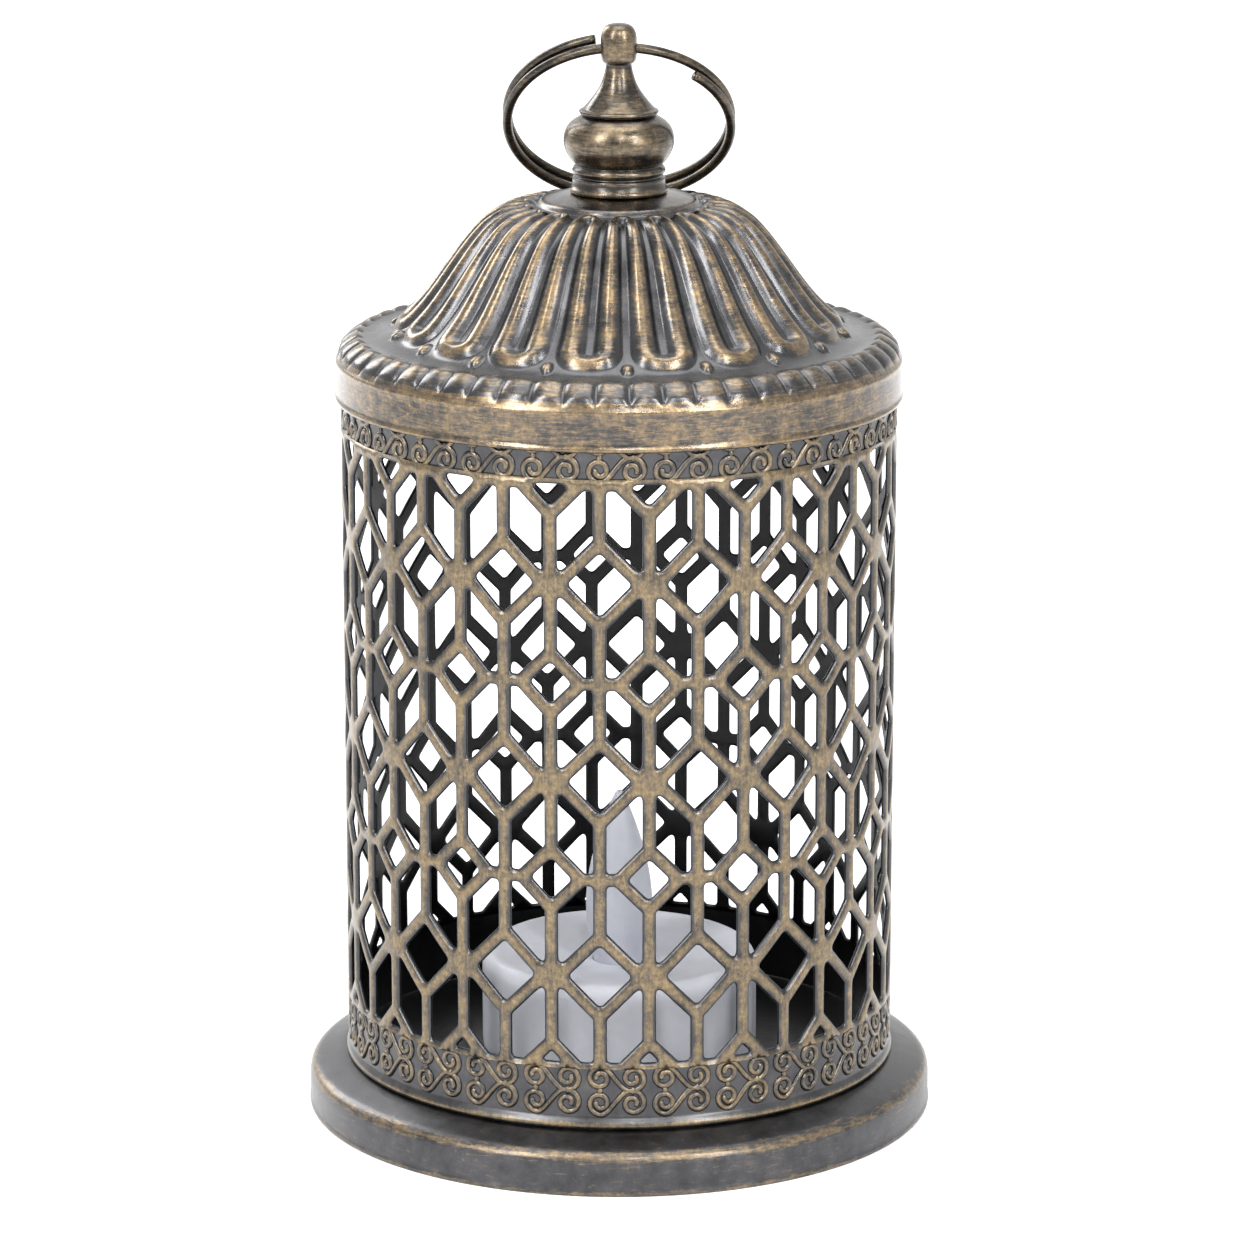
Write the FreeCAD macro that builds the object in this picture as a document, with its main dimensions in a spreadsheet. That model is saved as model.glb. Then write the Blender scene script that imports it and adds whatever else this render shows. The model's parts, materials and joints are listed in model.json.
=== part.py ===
import FreeCAD, Part
import math
import os
import re

import Sketcher
from FreeCAD import Placement, Rotation, Vector

# Lantern of pressed and pierced tin with a lift-off lid, a carrying ring and an electric tealight.
# Lengths are in millimetres and angles in degrees. Z is up, the front faces -Y, and the origin is the
# centre of the foot plate's lower rim.

SIZES = [
    # foot plate
    ("base_height", 5.9, "foot plate, rim to the top of its rolled edge"),
    ("base_gauge", 0.7, "foot plate sheet"),
    ("base_edge_round", 1.3, "round of the foot plate's upper edge"),
    ("base_sides", 48, "flats that the round foot plate is worked in"),
    ("platform_margin", 0.3, "flat middle outside the cage that stands on it"),
    ("base_shoulder", 5.25, "sloping border round the flat middle"),
    ("platform_rise", 1.5, "flat middle above the edge"),
    # cage
    ("cage_radius", 37.6, "outside of the pierced sheet at a column line"),
    ("cage_gauge", 0.6, "pierced sheet"),
    ("cage_turn", -3.8, "column line nearest the front, from the front"),
    ("lattice_columns", 18, "diamonds in one row"),
    ("full_rows", 5, "rows of whole diamonds"),
    ("row_pitch", 13.28, "one row to the next"),
    ("diamond_half_height", 5.9, "strut crossing to the tip of a diamond"),
    ("strut_width", 1.8, "lattice strut"),
    ("bottom_band_height", 9.3, "plain strip and scroll band under the lattice"),
    ("bottom_row_sink", 1.38, "middle of the cut-off lowest row, under the band's edge"),
    ("top_band_height", 9.4, "scroll band over the lattice"),
    ("foot_bead_height", 1.6, "rolled edge at the cage's foot"),
    ("foot_bead_reach", 0.35, "rolled edge outside the sheet"),
    ("tab_count", 4, "tabs that hold the cage in the foot plate"),
    ("tab_width", 5.0, "tab along the sheet"),
    ("tab_reach", 4.0, "bent end of a tab under the foot plate"),
    ("slot_clearance", 0.1, "slot round a tab, each side"),
    # lid
    ("lid_fit", 0.15, "lid over the cage, radially"),
    ("lid_gauge", 0.7, "lid sheet"),
    ("lid_ledge", 1.2, "step inside the lid that sits on the cage's top edge"),
    ("rest_gap", 0.05, "between pieces that only rest on each other"),
    ("lid_overlap", 5.0, "skirt below the cage's top edge"),
    ("lid_height", 27.6, "skirt's lower edge to the top disc"),
    ("lid_flutes", 18, "looped flutes round the dome"),
    ("lid_turn", 12.2, "flute nearest the front, from the front"),
    ("flute_depth", 0.9, "groove under the crest"),
    ("tooth_depth", 0.6, "notch between two teeth of the shoulder"),
    ("lid_bore_fit", 0.1, "screw in the lid's hole, radially"),
    # knob
    ("knob_sides", 24, "flats that the turned knob is worked in"),
    ("collar_radius", 6.6, "lowest ring"),
    ("collar_height", 2.0, "lowest ring"),
    ("waist_radius", 5.7, "neck over the collar"),
    ("waist_height", 0.6, "neck over the collar"),
    ("bead_radius", 6.25, "ring under the ball"),
    ("bead_height", 1.1, "ring under the ball"),
    ("ball_radius", 7.46, "widest turning"),
    ("ball_foot_radius", 5.9, "ball where it meets the bead"),
    ("ball_top_radius", 5.0, "ball where it meets the thin ring"),
    ("ball_height", 6.8, "ball between its rings"),
    ("thin_ring_radius", 5.35, "ring over the ball"),
    ("thin_ring_height", 0.8, "ring over the ball"),
    ("flare_height", 5.1, "hollow cone over the thin ring"),
    ("neck_radius", 1.75, "top of the hollow cone"),
    ("neck_height", 1.0, "plain neck under the tip"),
    ("tip_radius", 2.42, "rounded tip"),
    ("tip_height", 5.3, "rounded tip"),
    ("tip_crown", 1.5, "domed top of the tip"),
    ("ring_hole_radius", 1.0, "cross hole"),
    ("ring_hole_height", 2.0, "cross hole above the tip's foot"),
    # screw and washer inside the lid
    ("screw_radius", 1.5, "shank"),
    ("screw_length", 7.0, "under the head"),
    ("screw_head_radius", 2.8, "head"),
    ("screw_head_height", 1.8, "head"),
    ("screw_clearance", 0.05, "shank in its bores, radially"),
    ("washer_radius", 4.2, "washer"),
    ("washer_thickness", 0.6, "washer"),
    # carrying ring
    ("ring_outside", 31.6, "across the ring"),
    ("ring_wire", 1.33, "wire"),
    ("ring_wire_sides", 6, "flats that the wire is worked in"),
    ("ring_gap", 0.45, "between its two turns"),
    ("ring_right_sweep", 349.0, "wire from the knob round by the right"),
    ("ring_left_sweep", 318.0, "wire from the knob round by the left"),
    ("ring_lean", 48.2, "ring below level where it lies back on the dome"),
    # tealight case
    ("candle_height", 13.8, "case"),
    ("candle_gauge", 1.2, "case wall"),
    ("candle_sides", 32, "flats that the round case is worked in"),
    ("candle_shoulder", 1.6, "bevel round the top"),
    ("dish_depth", 1.6, "hollow of the case's top"),
    ("dish_floor_radius", 6.0, "flat of the hollow"),
    ("moulding_clearance", 0.1, "between moulded pieces"),
    # tealight bottom
    ("floor_recess", 0.8, "closing disc above the case's lower edge"),
    ("floor_thickness", 1.2, "closing disc"),
    ("boss_radius", 2.1, "boss for the hatch screw"),
    ("boss_height", 2.8, "boss above the closing disc"),
    ("boss_margin", 0.9, "boss inside the edge of the closing disc"),
    ("hatch_offset", 2.3, "battery hatch behind the middle"),
    ("hatch_ledge", 0.8, "hatch's rim under the closing disc's step"),
    ("hatch_ear_radius", 2.2, "hatch's screw ear"),
    ("cell_radius", 10.0, "coin cell"),
    ("cell_thickness", 3.2, "coin cell"),
    ("cell_step", 0.9, "step round the coin cell's cap"),
    ("cell_clearance", 0.3, "coin cell in its well, radially"),
    ("contact_thickness", 0.3, "contact strips"),
    ("contact_width", 2.4, "contact strips"),
    ("hatch_screw_radius", 0.9, "shank"),
    ("hatch_screw_length", 3.2, "under the head"),
    ("hatch_screw_head_radius", 1.5, "head"),
    ("hatch_screw_head_height", 0.6, "head"),
    # tealight switch
    ("switch_length", 7.0, "slider"),
    ("switch_width", 2.4, "slider"),
    ("switch_height", 1.6, "slider above the closing disc"),
    ("nub_length", 1.6, "part of the slider that a finger pushes"),
    ("nub_recess", 0.3, "nub above the case's lower edge"),
    ("switch_travel", 2.4, "off to on"),
    ("switch_offset", 13.0, "slider in front of the middle"),
    ("rail_width", 0.8, "rails on both sides of the slider"),
    ("rail_length", 10.0, "rails on both sides of the slider"),
    # tealight lamp and flame
    ("led_radius", 2.5, "lamp"),
    ("led_height", 8.6, "lamp"),
    ("led_flange_radius", 2.9, "lamp's lower rim"),
    ("led_flange_height", 1.0, "lamp's lower rim"),
    ("leg_side", 0.5, "lamp's legs"),
    ("leg_spread", 2.54, "between the lamp's legs"),
    ("leg_length", 1.2, "lamp's legs down to the strips"),
    ("flame_radius", 4.65, "flame at its widest"),
    ("flame_foot_radius", 3.6, "flame where it leaves the case"),
    ("flame_rise", 22.6, "flame above the case's rim"),
    ("flame_sides", 16, "flats that the flame is worked in"),
    ("flame_flange_radius", 5.0, "flame's rim under the case's top"),
    ("flame_flange_height", 1.0, "flame's rim under the case's top"),
]

DERIVED = [
    ("cage_facets", "lattice_columns * 2"),
    ("platform_radius", "cage_radius + platform_margin"),
    ("base_radius", "platform_radius + base_shoulder"),
    ("platform_top", "base_height + platform_rise"),
    ("lattice_foot", "bottom_band_height - bottom_row_sink"),
    ("lattice_rise", "(full_rows + 1) * row_pitch"),
    ("cage_height", "lattice_foot + lattice_rise + top_band_height"),
    ("cage_top", "platform_top + cage_height"),
    ("cage_apothem", "cage_radius * cos(180 / cage_facets)"),
    ("tab_drop", "base_gauge + cage_gauge"),
    ("lid_inside_radius", "cage_radius + lid_fit"),
    ("lid_radius", "lid_inside_radius + lid_gauge"),
    ("lid_foot", "cage_top - lid_overlap"),
    ("lid_top", "lid_foot + lid_height"),
    ("ball_foot", "collar_height + waist_height + bead_height"),
    ("ball_top", "ball_foot + ball_height"),
    ("flare_foot", "ball_top + thin_ring_height"),
    ("neck_foot", "flare_foot + flare_height"),
    ("tip_foot", "neck_foot + neck_height"),
    ("knob_height", "tip_foot + tip_height"),
    ("ring_radius", "(ring_outside - ring_wire) / 2"),
    ("ring_pitch", "ring_wire + ring_gap"),
    ("pivot_height", "lid_top + tip_foot + ring_hole_height"),
    ("candle_foot", "platform_top + rest_gap"),
    ("boss_offset", "hatch_offset + cell_radius + cell_clearance + boss_radius"),
    ("inside_radius", "boss_offset + boss_radius + boss_margin + moulding_clearance"),
    ("candle_radius", "inside_radius + candle_gauge"),
    ("floor_top", "floor_recess + floor_thickness"),
    ("ledge_height", "floor_recess + floor_thickness / 2"),
    ("well_radius", "cell_radius + cell_clearance"),
    ("hatch_radius", "well_radius + hatch_ledge"),
    ("cell_top", "floor_top + cell_thickness"),
    ("dish_bottom", "candle_height - dish_depth"),
    ("dish_underside", "dish_bottom - candle_gauge"),
    ("flame_foot", "dish_underside - flame_flange_height"),
    ("led_foot", "flame_foot - led_flange_height"),
    ("strip_top", "led_foot - leg_length"),
    ("slider_top", "floor_top + moulding_clearance + switch_height"),
]

PANELS_PER_COLUMN = 2
# Corners this near to one plane share one facet.
FLATNESS = 1e-7
NODES = []


def put(rows, first_row):
    """Writes rows of (alias, text) to the sheet, one to a line."""
    for line, (alias, text) in enumerate(rows, first_row):
        sheet.set(f"A{line}", alias)
        sheet.set(f"B{line}", text)
        sheet.setAlias(f"B{line}", alias)


def bound(text):
    """An expression on the sheet's cells, written with their bare names."""
    return re.sub(r"[A-Za-z_]\w*(?![\w(])", lambda word: "Sizes." + word.group(0), text)


def amount(text):
    """The number that an expression on the sheet's cells gives now."""
    return float(sheet.evalExpression(bound(text)))


def bind(thing, **properties):
    """Binds properties to the sheet; a double underscore stands for a dot."""
    for name, text in properties.items():
        thing.setExpression(name.replace("__", "."), bound(text))
    return thing


def place(thing, across="0", back="0", up="0", turn="0"):
    """Puts a piece at a place, turned about Z."""
    bind(thing, Placement__Base__x=across, Placement__Base__y=back, Placement__Base__z=up)
    return bind(thing, Placement__Rotation__Angle=turn)


def solid(kind, name, **properties):
    """A Part primitive with its sizes bound to the sheet."""
    return bind(doc.addObject("Part::" + kind, name), **properties)


def faceted(rings):
    """A solid of flat facets between rings of points, with a flat face on the first and last ring."""
    faces = [Part.Face(closed(rings[0])), Part.Face(closed(rings[-1]))]
    for low, high in zip(rings, rings[1:]):
        for i, corner in enumerate(low):
            j = (i + 1) % len(low)
            normal = (low[j] - corner).cross(high[i] - corner).normalize()
            if abs(normal.dot(high[j] - corner)) < FLATNESS:
                faces.append(Part.Face(closed([corner, low[j], high[j], high[i]])))
            else:
                faces.append(Part.Face(closed([corner, low[j], high[j]])))
                faces.append(Part.Face(closed([corner, high[j], high[i]])))
    shell = Part.makeShell(faces)
    shell.sewShape()
    return Part.makeSolid(shell)


def turned(name, sides, stations):
    """A turned or pressed form worked in flats, through stations of (radius, height)."""
    count = int(amount(sides))
    rings = [ring_of_points([(amount(radius), amount(height))] * count) for radius, height in stations]
    return shaped(name, faceted(rings))


def cut(name, base, tool):
    thing = doc.addObject("Part::Cut", name)
    thing.Base = base
    thing.Tool = tool
    return thing


def fuse(name, pieces):
    thing = doc.addObject("Part::MultiFuse", name)
    thing.Shapes = pieces
    return thing


def shaped(name, shape):
    """A piece whose shape is worked out here from the sheet."""
    thing = doc.addObject("Part::Feature", name)
    thing.Shape = shape
    return thing


def node(thing, label):
    """Marks a finished piece, which is written to a file of that name."""
    thing.Label = label
    NODES.append(thing)
    return thing


def ring_of_points(radii_and_heights, turn=0.0):
    """Points spread evenly round the axis, one for each (radius, height)."""
    step = 2 * math.pi / len(radii_and_heights)
    start = math.radians(turn)
    return [
        Vector(radius * math.cos(start + i * step), radius * math.sin(start + i * step), height)
        for i, (radius, height) in enumerate(radii_and_heights)
    ]


def closed(points):
    return Part.makePolygon(points + points[:1])


def profile_body(name, role, points, length, reverse=False):
    """A body made by padding a closed outline of (x, y) expressions on one of its origin planes."""
    body = doc.addObject("PartDesign::Body", name)
    sketch = body.newObject("Sketcher::SketchObject", name + "_outline")
    origin_plane = next(item for item in body.Origin.OriginFeatures if item.Role == role)
    sketch.AttachmentSupport = [(origin_plane, "")]
    sketch.MapMode = "FlatFace"
    corners = [Vector(amount(x), amount(y), 0) for x, y in points]
    for i, corner in enumerate(corners):
        sketch.addGeometry(Part.LineSegment(corner, corners[(i + 1) % len(corners)]), False)
    for i in range(len(corners)):
        sketch.addConstraint(Sketcher.Constraint("Coincident", i, 2, (i + 1) % len(corners), 1))
    for i, pair in enumerate(points):
        for kind, text, axis in zip(("DistanceX", "DistanceY"), pair, (-2, -1)):
            if text == "0":
                sketch.addConstraint(Sketcher.Constraint("PointOnObject", i, 1, axis))
                continue
            number = sketch.addConstraint(Sketcher.Constraint(kind, -1, 1, i, 1, amount(text)))
            sketch.setExpression(f"Constraints[{number}]", bound(text))
    pad = body.newObject("PartDesign::Pad", name + "_pad")
    pad.Profile = sketch
    pad.Midplane = True
    bind(pad, Length=length)
    body.Tip = pad
    return body


def make_base_plate():
    """Pressed foot plate: a rolled edge, a sloping margin and a flat middle with slots for the tabs."""
    outside = turned(
        "base_outside",
        "base_sides",
        [
            ("base_radius", "0"),
            ("base_radius", "base_height - base_edge_round"),
            ("base_radius - 0.3 * base_edge_round", "base_height - 0.3 * base_edge_round"),
            ("base_radius - base_edge_round", "base_height"),
            ("platform_radius", "platform_top"),
        ],
    )
    inside = turned(
        "base_inside",
        "base_sides",
        [
            ("base_radius - base_gauge", "0"),
            ("base_radius - base_gauge", "base_height - base_edge_round"),
            ("platform_radius", "platform_top - base_gauge"),
        ],
    )
    slots = []
    for number in range(int(amount("tab_count"))):
        slot = solid(
            "Box",
            f"slot_{number}",
            Length="cage_gauge + 2 * slot_clearance",
            Width="tab_width + 2 * slot_clearance",
            Height="platform_top",
        )
        slots.append(on_tab(slot, number, "cage_apothem - cage_gauge - slot_clearance", "slot_clearance"))
    plate = cut("base_pressing", outside, inside)
    plate = cut("base_plate", plate, fuse("slots", slots))
    return node(place(plate, turn="cage_turn - 90"), "base_plate")


def on_tab(box, number, inner_radius, margin="0", up="0"):
    """Puts a box on one tab, its near face at a radius and its width centred on a panel of the cage."""
    angle = f"(180 / cage_facets + {number} * 360 / tab_count)"
    half = f"(tab_width / 2 + {margin})"
    bind(
        box,
        Placement__Base__x=f"({inner_radius}) * cos({angle}) + {half} * sin({angle})",
        Placement__Base__y=f"({inner_radius}) * sin({angle}) - {half} * cos({angle})",
        Placement__Base__z=up,
    )
    box.setExpression("Placement.Rotation.Angle", bound(angle))
    return box


def opening(corners, distance, depth, angle):
    """A prism through the sheet: corners (sideways, height) are seen from outside, at an angle from +X."""
    points = [Vector(distance, x, z) for x, z in corners]
    prism = Part.Face(closed(points)).extrude(Vector(depth, 0, 0))
    prism.rotate(Vector(0, 0, 0), Vector(0, 0, 1), angle)
    return prism


def lattice_openings():
    """The diamonds on the column lines and the slanted windows between them, all round the cage."""
    columns = int(amount("lattice_columns"))
    gaps = int(amount("full_rows")) + 1
    pitch = amount("row_pitch")
    half_height = amount("diamond_half_height")
    panel = 360 / columns / PANELS_PER_COLUMN
    half_panel = amount("cage_radius") * math.sin(math.radians(panel / 2))
    slope = half_height / (2 * half_panel)
    inset = amount("strut_width") / 2 * math.sqrt(1 + slope * slope)
    window = half_panel - amount("strut_width") / 2
    tip = half_height - inset
    foot = amount("lattice_foot")
    band_edge = amount("bottom_band_height")
    depth = amount("4 * cage_gauge")
    near = amount("cage_apothem - 2 * cage_gauge")
    prisms = []
    for line in range(PANELS_PER_COLUMN * columns):
        column_angle = line * panel
        for row in range(gaps + 1):
            middle = foot + row * pitch
            diamond_here = (row + line) % PANELS_PER_COLUMN == 1
            if diamond_here:
                low = max(middle - tip, band_edge)
                low_corners = [(0, low)]
                if row == 0:
                    cut_half = (middle + tip - low) / slope
                    low_corners = [(-cut_half, low), (cut_half, low)]
                side_corners = [(tip / slope, middle)] if row else []
                top_corners = [(0, middle + tip)] if row < gaps else []
                far_corners = [(-tip / slope, middle)] if row else []
                corners = low_corners + side_corners + top_corners + far_corners
                prisms.append(opening(corners, near, depth, column_angle))
            if row < gaps:
                # a window leans down and away from the diamond that stands beside its foot
                lean = slope if diamond_here else -slope
                low_middle = middle + half_height / 2
                high_middle = middle + pitch - half_height / 2
                corners = [
                    (-window, low_middle + inset + lean * window),
                    (window, low_middle + inset - lean * window),
                    (window, high_middle - inset - lean * window),
                    (-window, high_middle - inset + lean * window),
                ]
                prisms.append(opening(corners, near, depth, column_angle + panel / 2))
    return Part.makeCompound(prisms)


def make_cage():
    """Rolled sheet pierced with a lattice, on a beaded foot with four tabs bent in under the foot plate."""
    outside = solid(
        "Prism", "cage_outside", Polygon="cage_facets", Circumradius="cage_radius", Height="cage_height"
    )
    bead = turned(
        "foot_bead",
        "cage_facets",
        [
            ("cage_radius", "0"),
            ("cage_radius + foot_bead_reach", "foot_bead_height / 4"),
            ("cage_radius + foot_bead_reach", "3 * foot_bead_height / 4"),
            ("cage_radius", "foot_bead_height"),
        ],
    )
    inside = solid(
        "Prism",
        "cage_inside",
        Polygon="cage_facets",
        Circumradius="cage_radius - cage_gauge / cos(180 / cage_facets)",
        Height="cage_height",
    )
    tabs = []
    for number in range(int(amount("tab_count"))):
        leg = solid(
            "Box",
            f"tab_leg_{number}",
            Length="cage_gauge",
            Width="tab_width",
            Height="base_gauge + cage_gauge + foot_bead_height",
        )
        foot = solid("Box", f"tab_foot_{number}", Length="tab_reach", Width="tab_width", Height="cage_gauge")
        below = "-base_gauge - cage_gauge"
        tabs.append(on_tab(leg, number, "cage_apothem - cage_gauge", up=below))
        tabs.append(on_tab(foot, number, "cage_apothem - tab_reach", up=below))
    windows = shaped("lattice_openings", lattice_openings())
    tube = cut("cage_sheet", fuse("cage_form", [outside, bead]), inside)
    wall = fuse("cage_with_tabs", [tube] + tabs)
    cage = cut("cage", wall, windows)
    return node(place(cage, up="platform_top", turn="cage_turn - 90"), "cage")


# Outline of the lid from the skirt's lower edge to the top disc, as shares of lid_radius and lid_height,
# with the shares of the groove depths there: grooves inside a looped flute, grooves between two flutes
# and notches between the shoulder's teeth.
LID_OUTLINE_SHARES = [
    (1.000, 0.000, 0, 0, 0),
    (1.000, 0.199, 0, 0, 0),
    (0.987, 0.243, 0, 0, 0),
    (0.958, 0.297, 0, 0, 1),
    (0.919, 0.333, 0, 0, 1),
    (0.858, 0.322, 0, 0, 0),
    (0.806, 0.340, 0, 0, 0),
    (0.775, 0.368, 0, 1, 0),
    (0.715, 0.444, 1, 1, 0),
    (0.640, 0.575, 1, 1, 0),
    (0.560, 0.745, 1, 1, 0),
    (0.463, 0.890, 1, 1, 0),
    (0.340, 0.968, 1, 0, 0),
    (0.270, 0.984, 0, 0, 0),
    (0.180, 1.000, 0, 0, 0),
]
# Stations of the hollow that the plain skirt and its seat take.
LID_SEAT_STATIONS = 2


def lid_stations():
    """Each station's radius, height and inward direction, with its three groove depths."""
    radius, height = amount("lid_radius"), amount("lid_height")
    flute, tooth = amount("flute_depth"), amount("tooth_depth")
    places = [(r * radius, z * height) for r, z, *_ in LID_OUTLINE_SHARES]
    stations = []
    for i, (r, z) in enumerate(places):
        before, after = places[max(i - 1, 0)], places[min(i + 1, len(places) - 1)]
        run = Vector(after[0] - before[0], 0, after[1] - before[1]).normalize()
        if i in (0, len(places) - 1):
            run = Vector(0, 0, 1) if i == 0 else Vector(-1, 0, 0)
        shares = LID_OUTLINE_SHARES[i][2:]
        depths = (shares[0] * flute, shares[1] * flute, shares[2] * tooth)
        stations.append((r, z, (-run.z, run.x), depths))
    return stations


def make_lid():
    """Pressed lid: a skirt, a shoulder of teeth, a channel and a hollow-sided dome of looped flutes."""
    flutes = int(amount("lid_flutes"))
    gauge = amount("lid_gauge")
    seat = amount("lid_overlap + rest_gap")
    facets = int(amount("cage_facets"))
    outer, inner = [], []
    for i, (r, z, (inward_r, inward_z), (in_flute, between, notch)) in enumerate(lid_stations()):
        # one flute is six points: its groove, two on the crest, the groove beside it, two on the next crest
        depths = [max(in_flute, 0), 0, 0, between, 0, 0]
        depths = [depth + (notch if point % 2 else 0) for point, depth in enumerate(depths)]
        outer.append([(r + depth * inward_r, z + depth * inward_z) for depth in depths] * flutes)
        if i % 2 == 0 or i == len(LID_OUTLINE_SHARES) - 1:
            back = gauge + max(in_flute, between, notch)
            inner.append((r + back * inward_r, z + back * inward_z))
    wide = amount("lid_inside_radius / cos(180 / cage_facets)")
    ledge = (wide - amount("lid_ledge"), seat + gauge / 4)
    inner[:LID_SEAT_STATIONS] = [(wide, 0.0), (wide, seat), ledge]
    skin = faceted([ring_of_points(ring) for ring in outer])
    hollow = faceted([ring_of_points([station] * facets) for station in inner])
    bore = Part.makeCylinder(amount("screw_radius + lid_bore_fit"), amount("lid_height"))
    lid = shaped("lid", skin.cut(hollow).cut(bore))
    return node(place(lid, up="lid_foot", turn="lid_turn - 90"), "lid")


def make_knob():
    """Turned knob: collar, waist, bead, ball, thin ring, hollow cone and a tip bored across for the ring."""
    ball_shares = [(0.24, 0.80), (0.52, 1.0), (0.80, 0.83)]
    ball = [
        (
            f"ball_foot_radius + {wide} * (ball_radius - ball_foot_radius)"
            if high < 0.6
            else f"ball_top_radius + {wide} * (ball_radius - ball_top_radius)",
            f"ball_foot + {high} * ball_height",
        )
        for high, wide in ball_shares
    ]
    flare_shares = [(0.10, 0.93), (0.36, 0.52), (0.68, 0.17)]
    flare = [
        (f"neck_radius + {wide} * (ball_top_radius - neck_radius)", f"flare_foot + {high} * flare_height")
        for high, wide in flare_shares
    ]
    turning = turned(
        "knob_turning",
        "knob_sides",
        [
            ("collar_radius", "0"),
            ("collar_radius", "0.8 * collar_height"),
            ("waist_radius", "collar_height"),
            ("waist_radius", "collar_height + waist_height"),
            ("bead_radius", "collar_height + waist_height + bead_height / 4"),
            ("bead_radius", "collar_height + waist_height + 3 * bead_height / 4"),
            ("ball_foot_radius", "ball_foot"),
        ]
        + ball
        + [
            ("ball_top_radius", "ball_top"),
            ("thin_ring_radius", "ball_top + thin_ring_height / 4"),
            ("thin_ring_radius", "flare_foot"),
        ]
        + flare
        + [
            ("neck_radius", "neck_foot"),
            ("neck_radius", "neck_foot + neck_height"),
            ("tip_radius", "tip_foot + tip_height / 10"),
            ("tip_radius", "knob_height - tip_crown"),
            ("0.8 * tip_radius", "knob_height - tip_crown / 3"),
            ("0.35 * tip_radius", "knob_height"),
        ],
    )
    hole = solid("Cylinder", "ring_hole", Radius="ring_hole_radius", Height="4 * tip_radius")
    hole.Placement = Placement(Vector(0, 0, 0), Rotation(Vector(0, 1, 0), 90))
    bind(hole, Placement__Base__x="-2 * tip_radius", Placement__Base__z="tip_foot + ring_hole_height")
    bore = solid(
        "Cylinder",
        "screw_bore",
        Radius="screw_radius + screw_clearance",
        Height="screw_length - lid_gauge - washer_thickness + screw_clearance",
    )
    knob = cut("knob", turning, fuse("knob_holes", [hole, bore]))
    return node(place(knob, up="lid_top"), "finial")


def screw_form(name, radius, length, head_radius, head_height):
    """A screw that points up, its head below."""
    shank = solid("Cylinder", name + "_shank", Radius=radius, Height=length)
    head = solid("Cylinder", name + "_head", Radius=head_radius, Height=head_height)
    return fuse(name, [shank, place(head, up=f"-{head_height}")])


def make_lid_fixing():
    """The screw and washer that hold the knob from inside the lid."""
    washer = solid(
        "Prism", "washer_blank", Polygon="flame_sides", Circumradius="washer_radius", Height="washer_thickness"
    )
    bore = solid("Cylinder", "washer_bore", Radius="screw_radius + lid_bore_fit", Height="washer_thickness")
    seat = "lid_top - lid_gauge - washer_thickness"
    node(place(cut("washer", washer, bore), up=seat), "finial_washer")
    screw = screw_form("lid_screw", "screw_radius", "screw_length", "screw_head_radius", "screw_head_height")
    return node(place(screw, up=seat), "finial_screw")


def make_ring():
    """Carrying ring of wire, wound nearly twice round; it hangs from the knob and leans back on the dome."""
    radius, pitch = amount("ring_radius"), amount("ring_pitch")
    start, end = -amount("ring_left_sweep"), amount("ring_right_sweep")

    def at(angle):
        turned = math.radians(angle)
        return Vector(radius * math.sin(turned), pitch * angle / 360, radius * math.cos(turned) - radius)

    arcs = math.ceil((end - start) / 180)
    step = (end - start) / arcs
    joints = [start + step * number for number in range(arcs)]
    path = Part.Wire([Part.Arc(at(a), at(a + step / 2), at(a + step)).toShape() for a in joints])
    along = path.Edges[0].tangentAt(path.Edges[0].FirstParameter)
    side = Vector(0, 1, 0).cross(along).normalize()
    up = along.cross(side)
    sides = int(amount("ring_wire_sides"))
    corners = []
    for number in range(sides):
        turned = 2 * math.pi * (number + 0.5) / sides
        offset = side * math.cos(turned) + up * math.sin(turned)
        corners.append(at(start) + offset * amount("ring_wire / 2"))
    ring = shaped("ring", path.makePipeShell([closed(corners)], True, False))
    ring.Placement = Placement(Vector(0, 0, 0), Rotation(Vector(1, 0, 0), 90))
    bind(ring, Placement__Base__z="pivot_height", Placement__Rotation__Angle="90 - ring_lean")

    first = [at(start + angle) for angle in range(int(end - start))]
    gap = min((p - q).Length for i, p in enumerate(first) for q in first[i + 180:]) - amount("ring_wire")
    print(f"least gap between the ring's turns {gap:.2f} mm, {(end - start) / 360:.2f} turns")
    return node(ring, "carry_ring")


def make_candle_case():
    """Moulded case of the tealight, open below, with a hollowed top and a hole for the flame."""
    outside = turned(
        "case_outside",
        "candle_sides",
        [
            ("candle_radius", "0"),
            ("candle_radius", "candle_height - candle_shoulder"),
            ("candle_radius - 0.3 * candle_shoulder", "candle_height - 0.3 * candle_shoulder"),
            ("candle_radius - candle_shoulder", "candle_height"),
            ("dish_floor_radius", "dish_bottom"),
        ],
    )
    inside = turned(
        "case_inside",
        "candle_sides",
        [
            ("inside_radius", "0"),
            ("inside_radius", "candle_height - candle_shoulder - candle_gauge / 2"),
            ("inside_radius - candle_shoulder", "candle_height - 1.2 * candle_gauge"),
            ("dish_floor_radius", "dish_underside"),
        ],
    )
    hole = solid(
        "Prism",
        "flame_hole",
        Polygon="flame_sides",
        Circumradius="flame_foot_radius + moulding_clearance",
        Height="candle_height",
    )
    case = cut("case", cut("case_shell", outside, inside), hole)
    return node(place(case, up="candle_foot"), "candle_housing")


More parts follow.
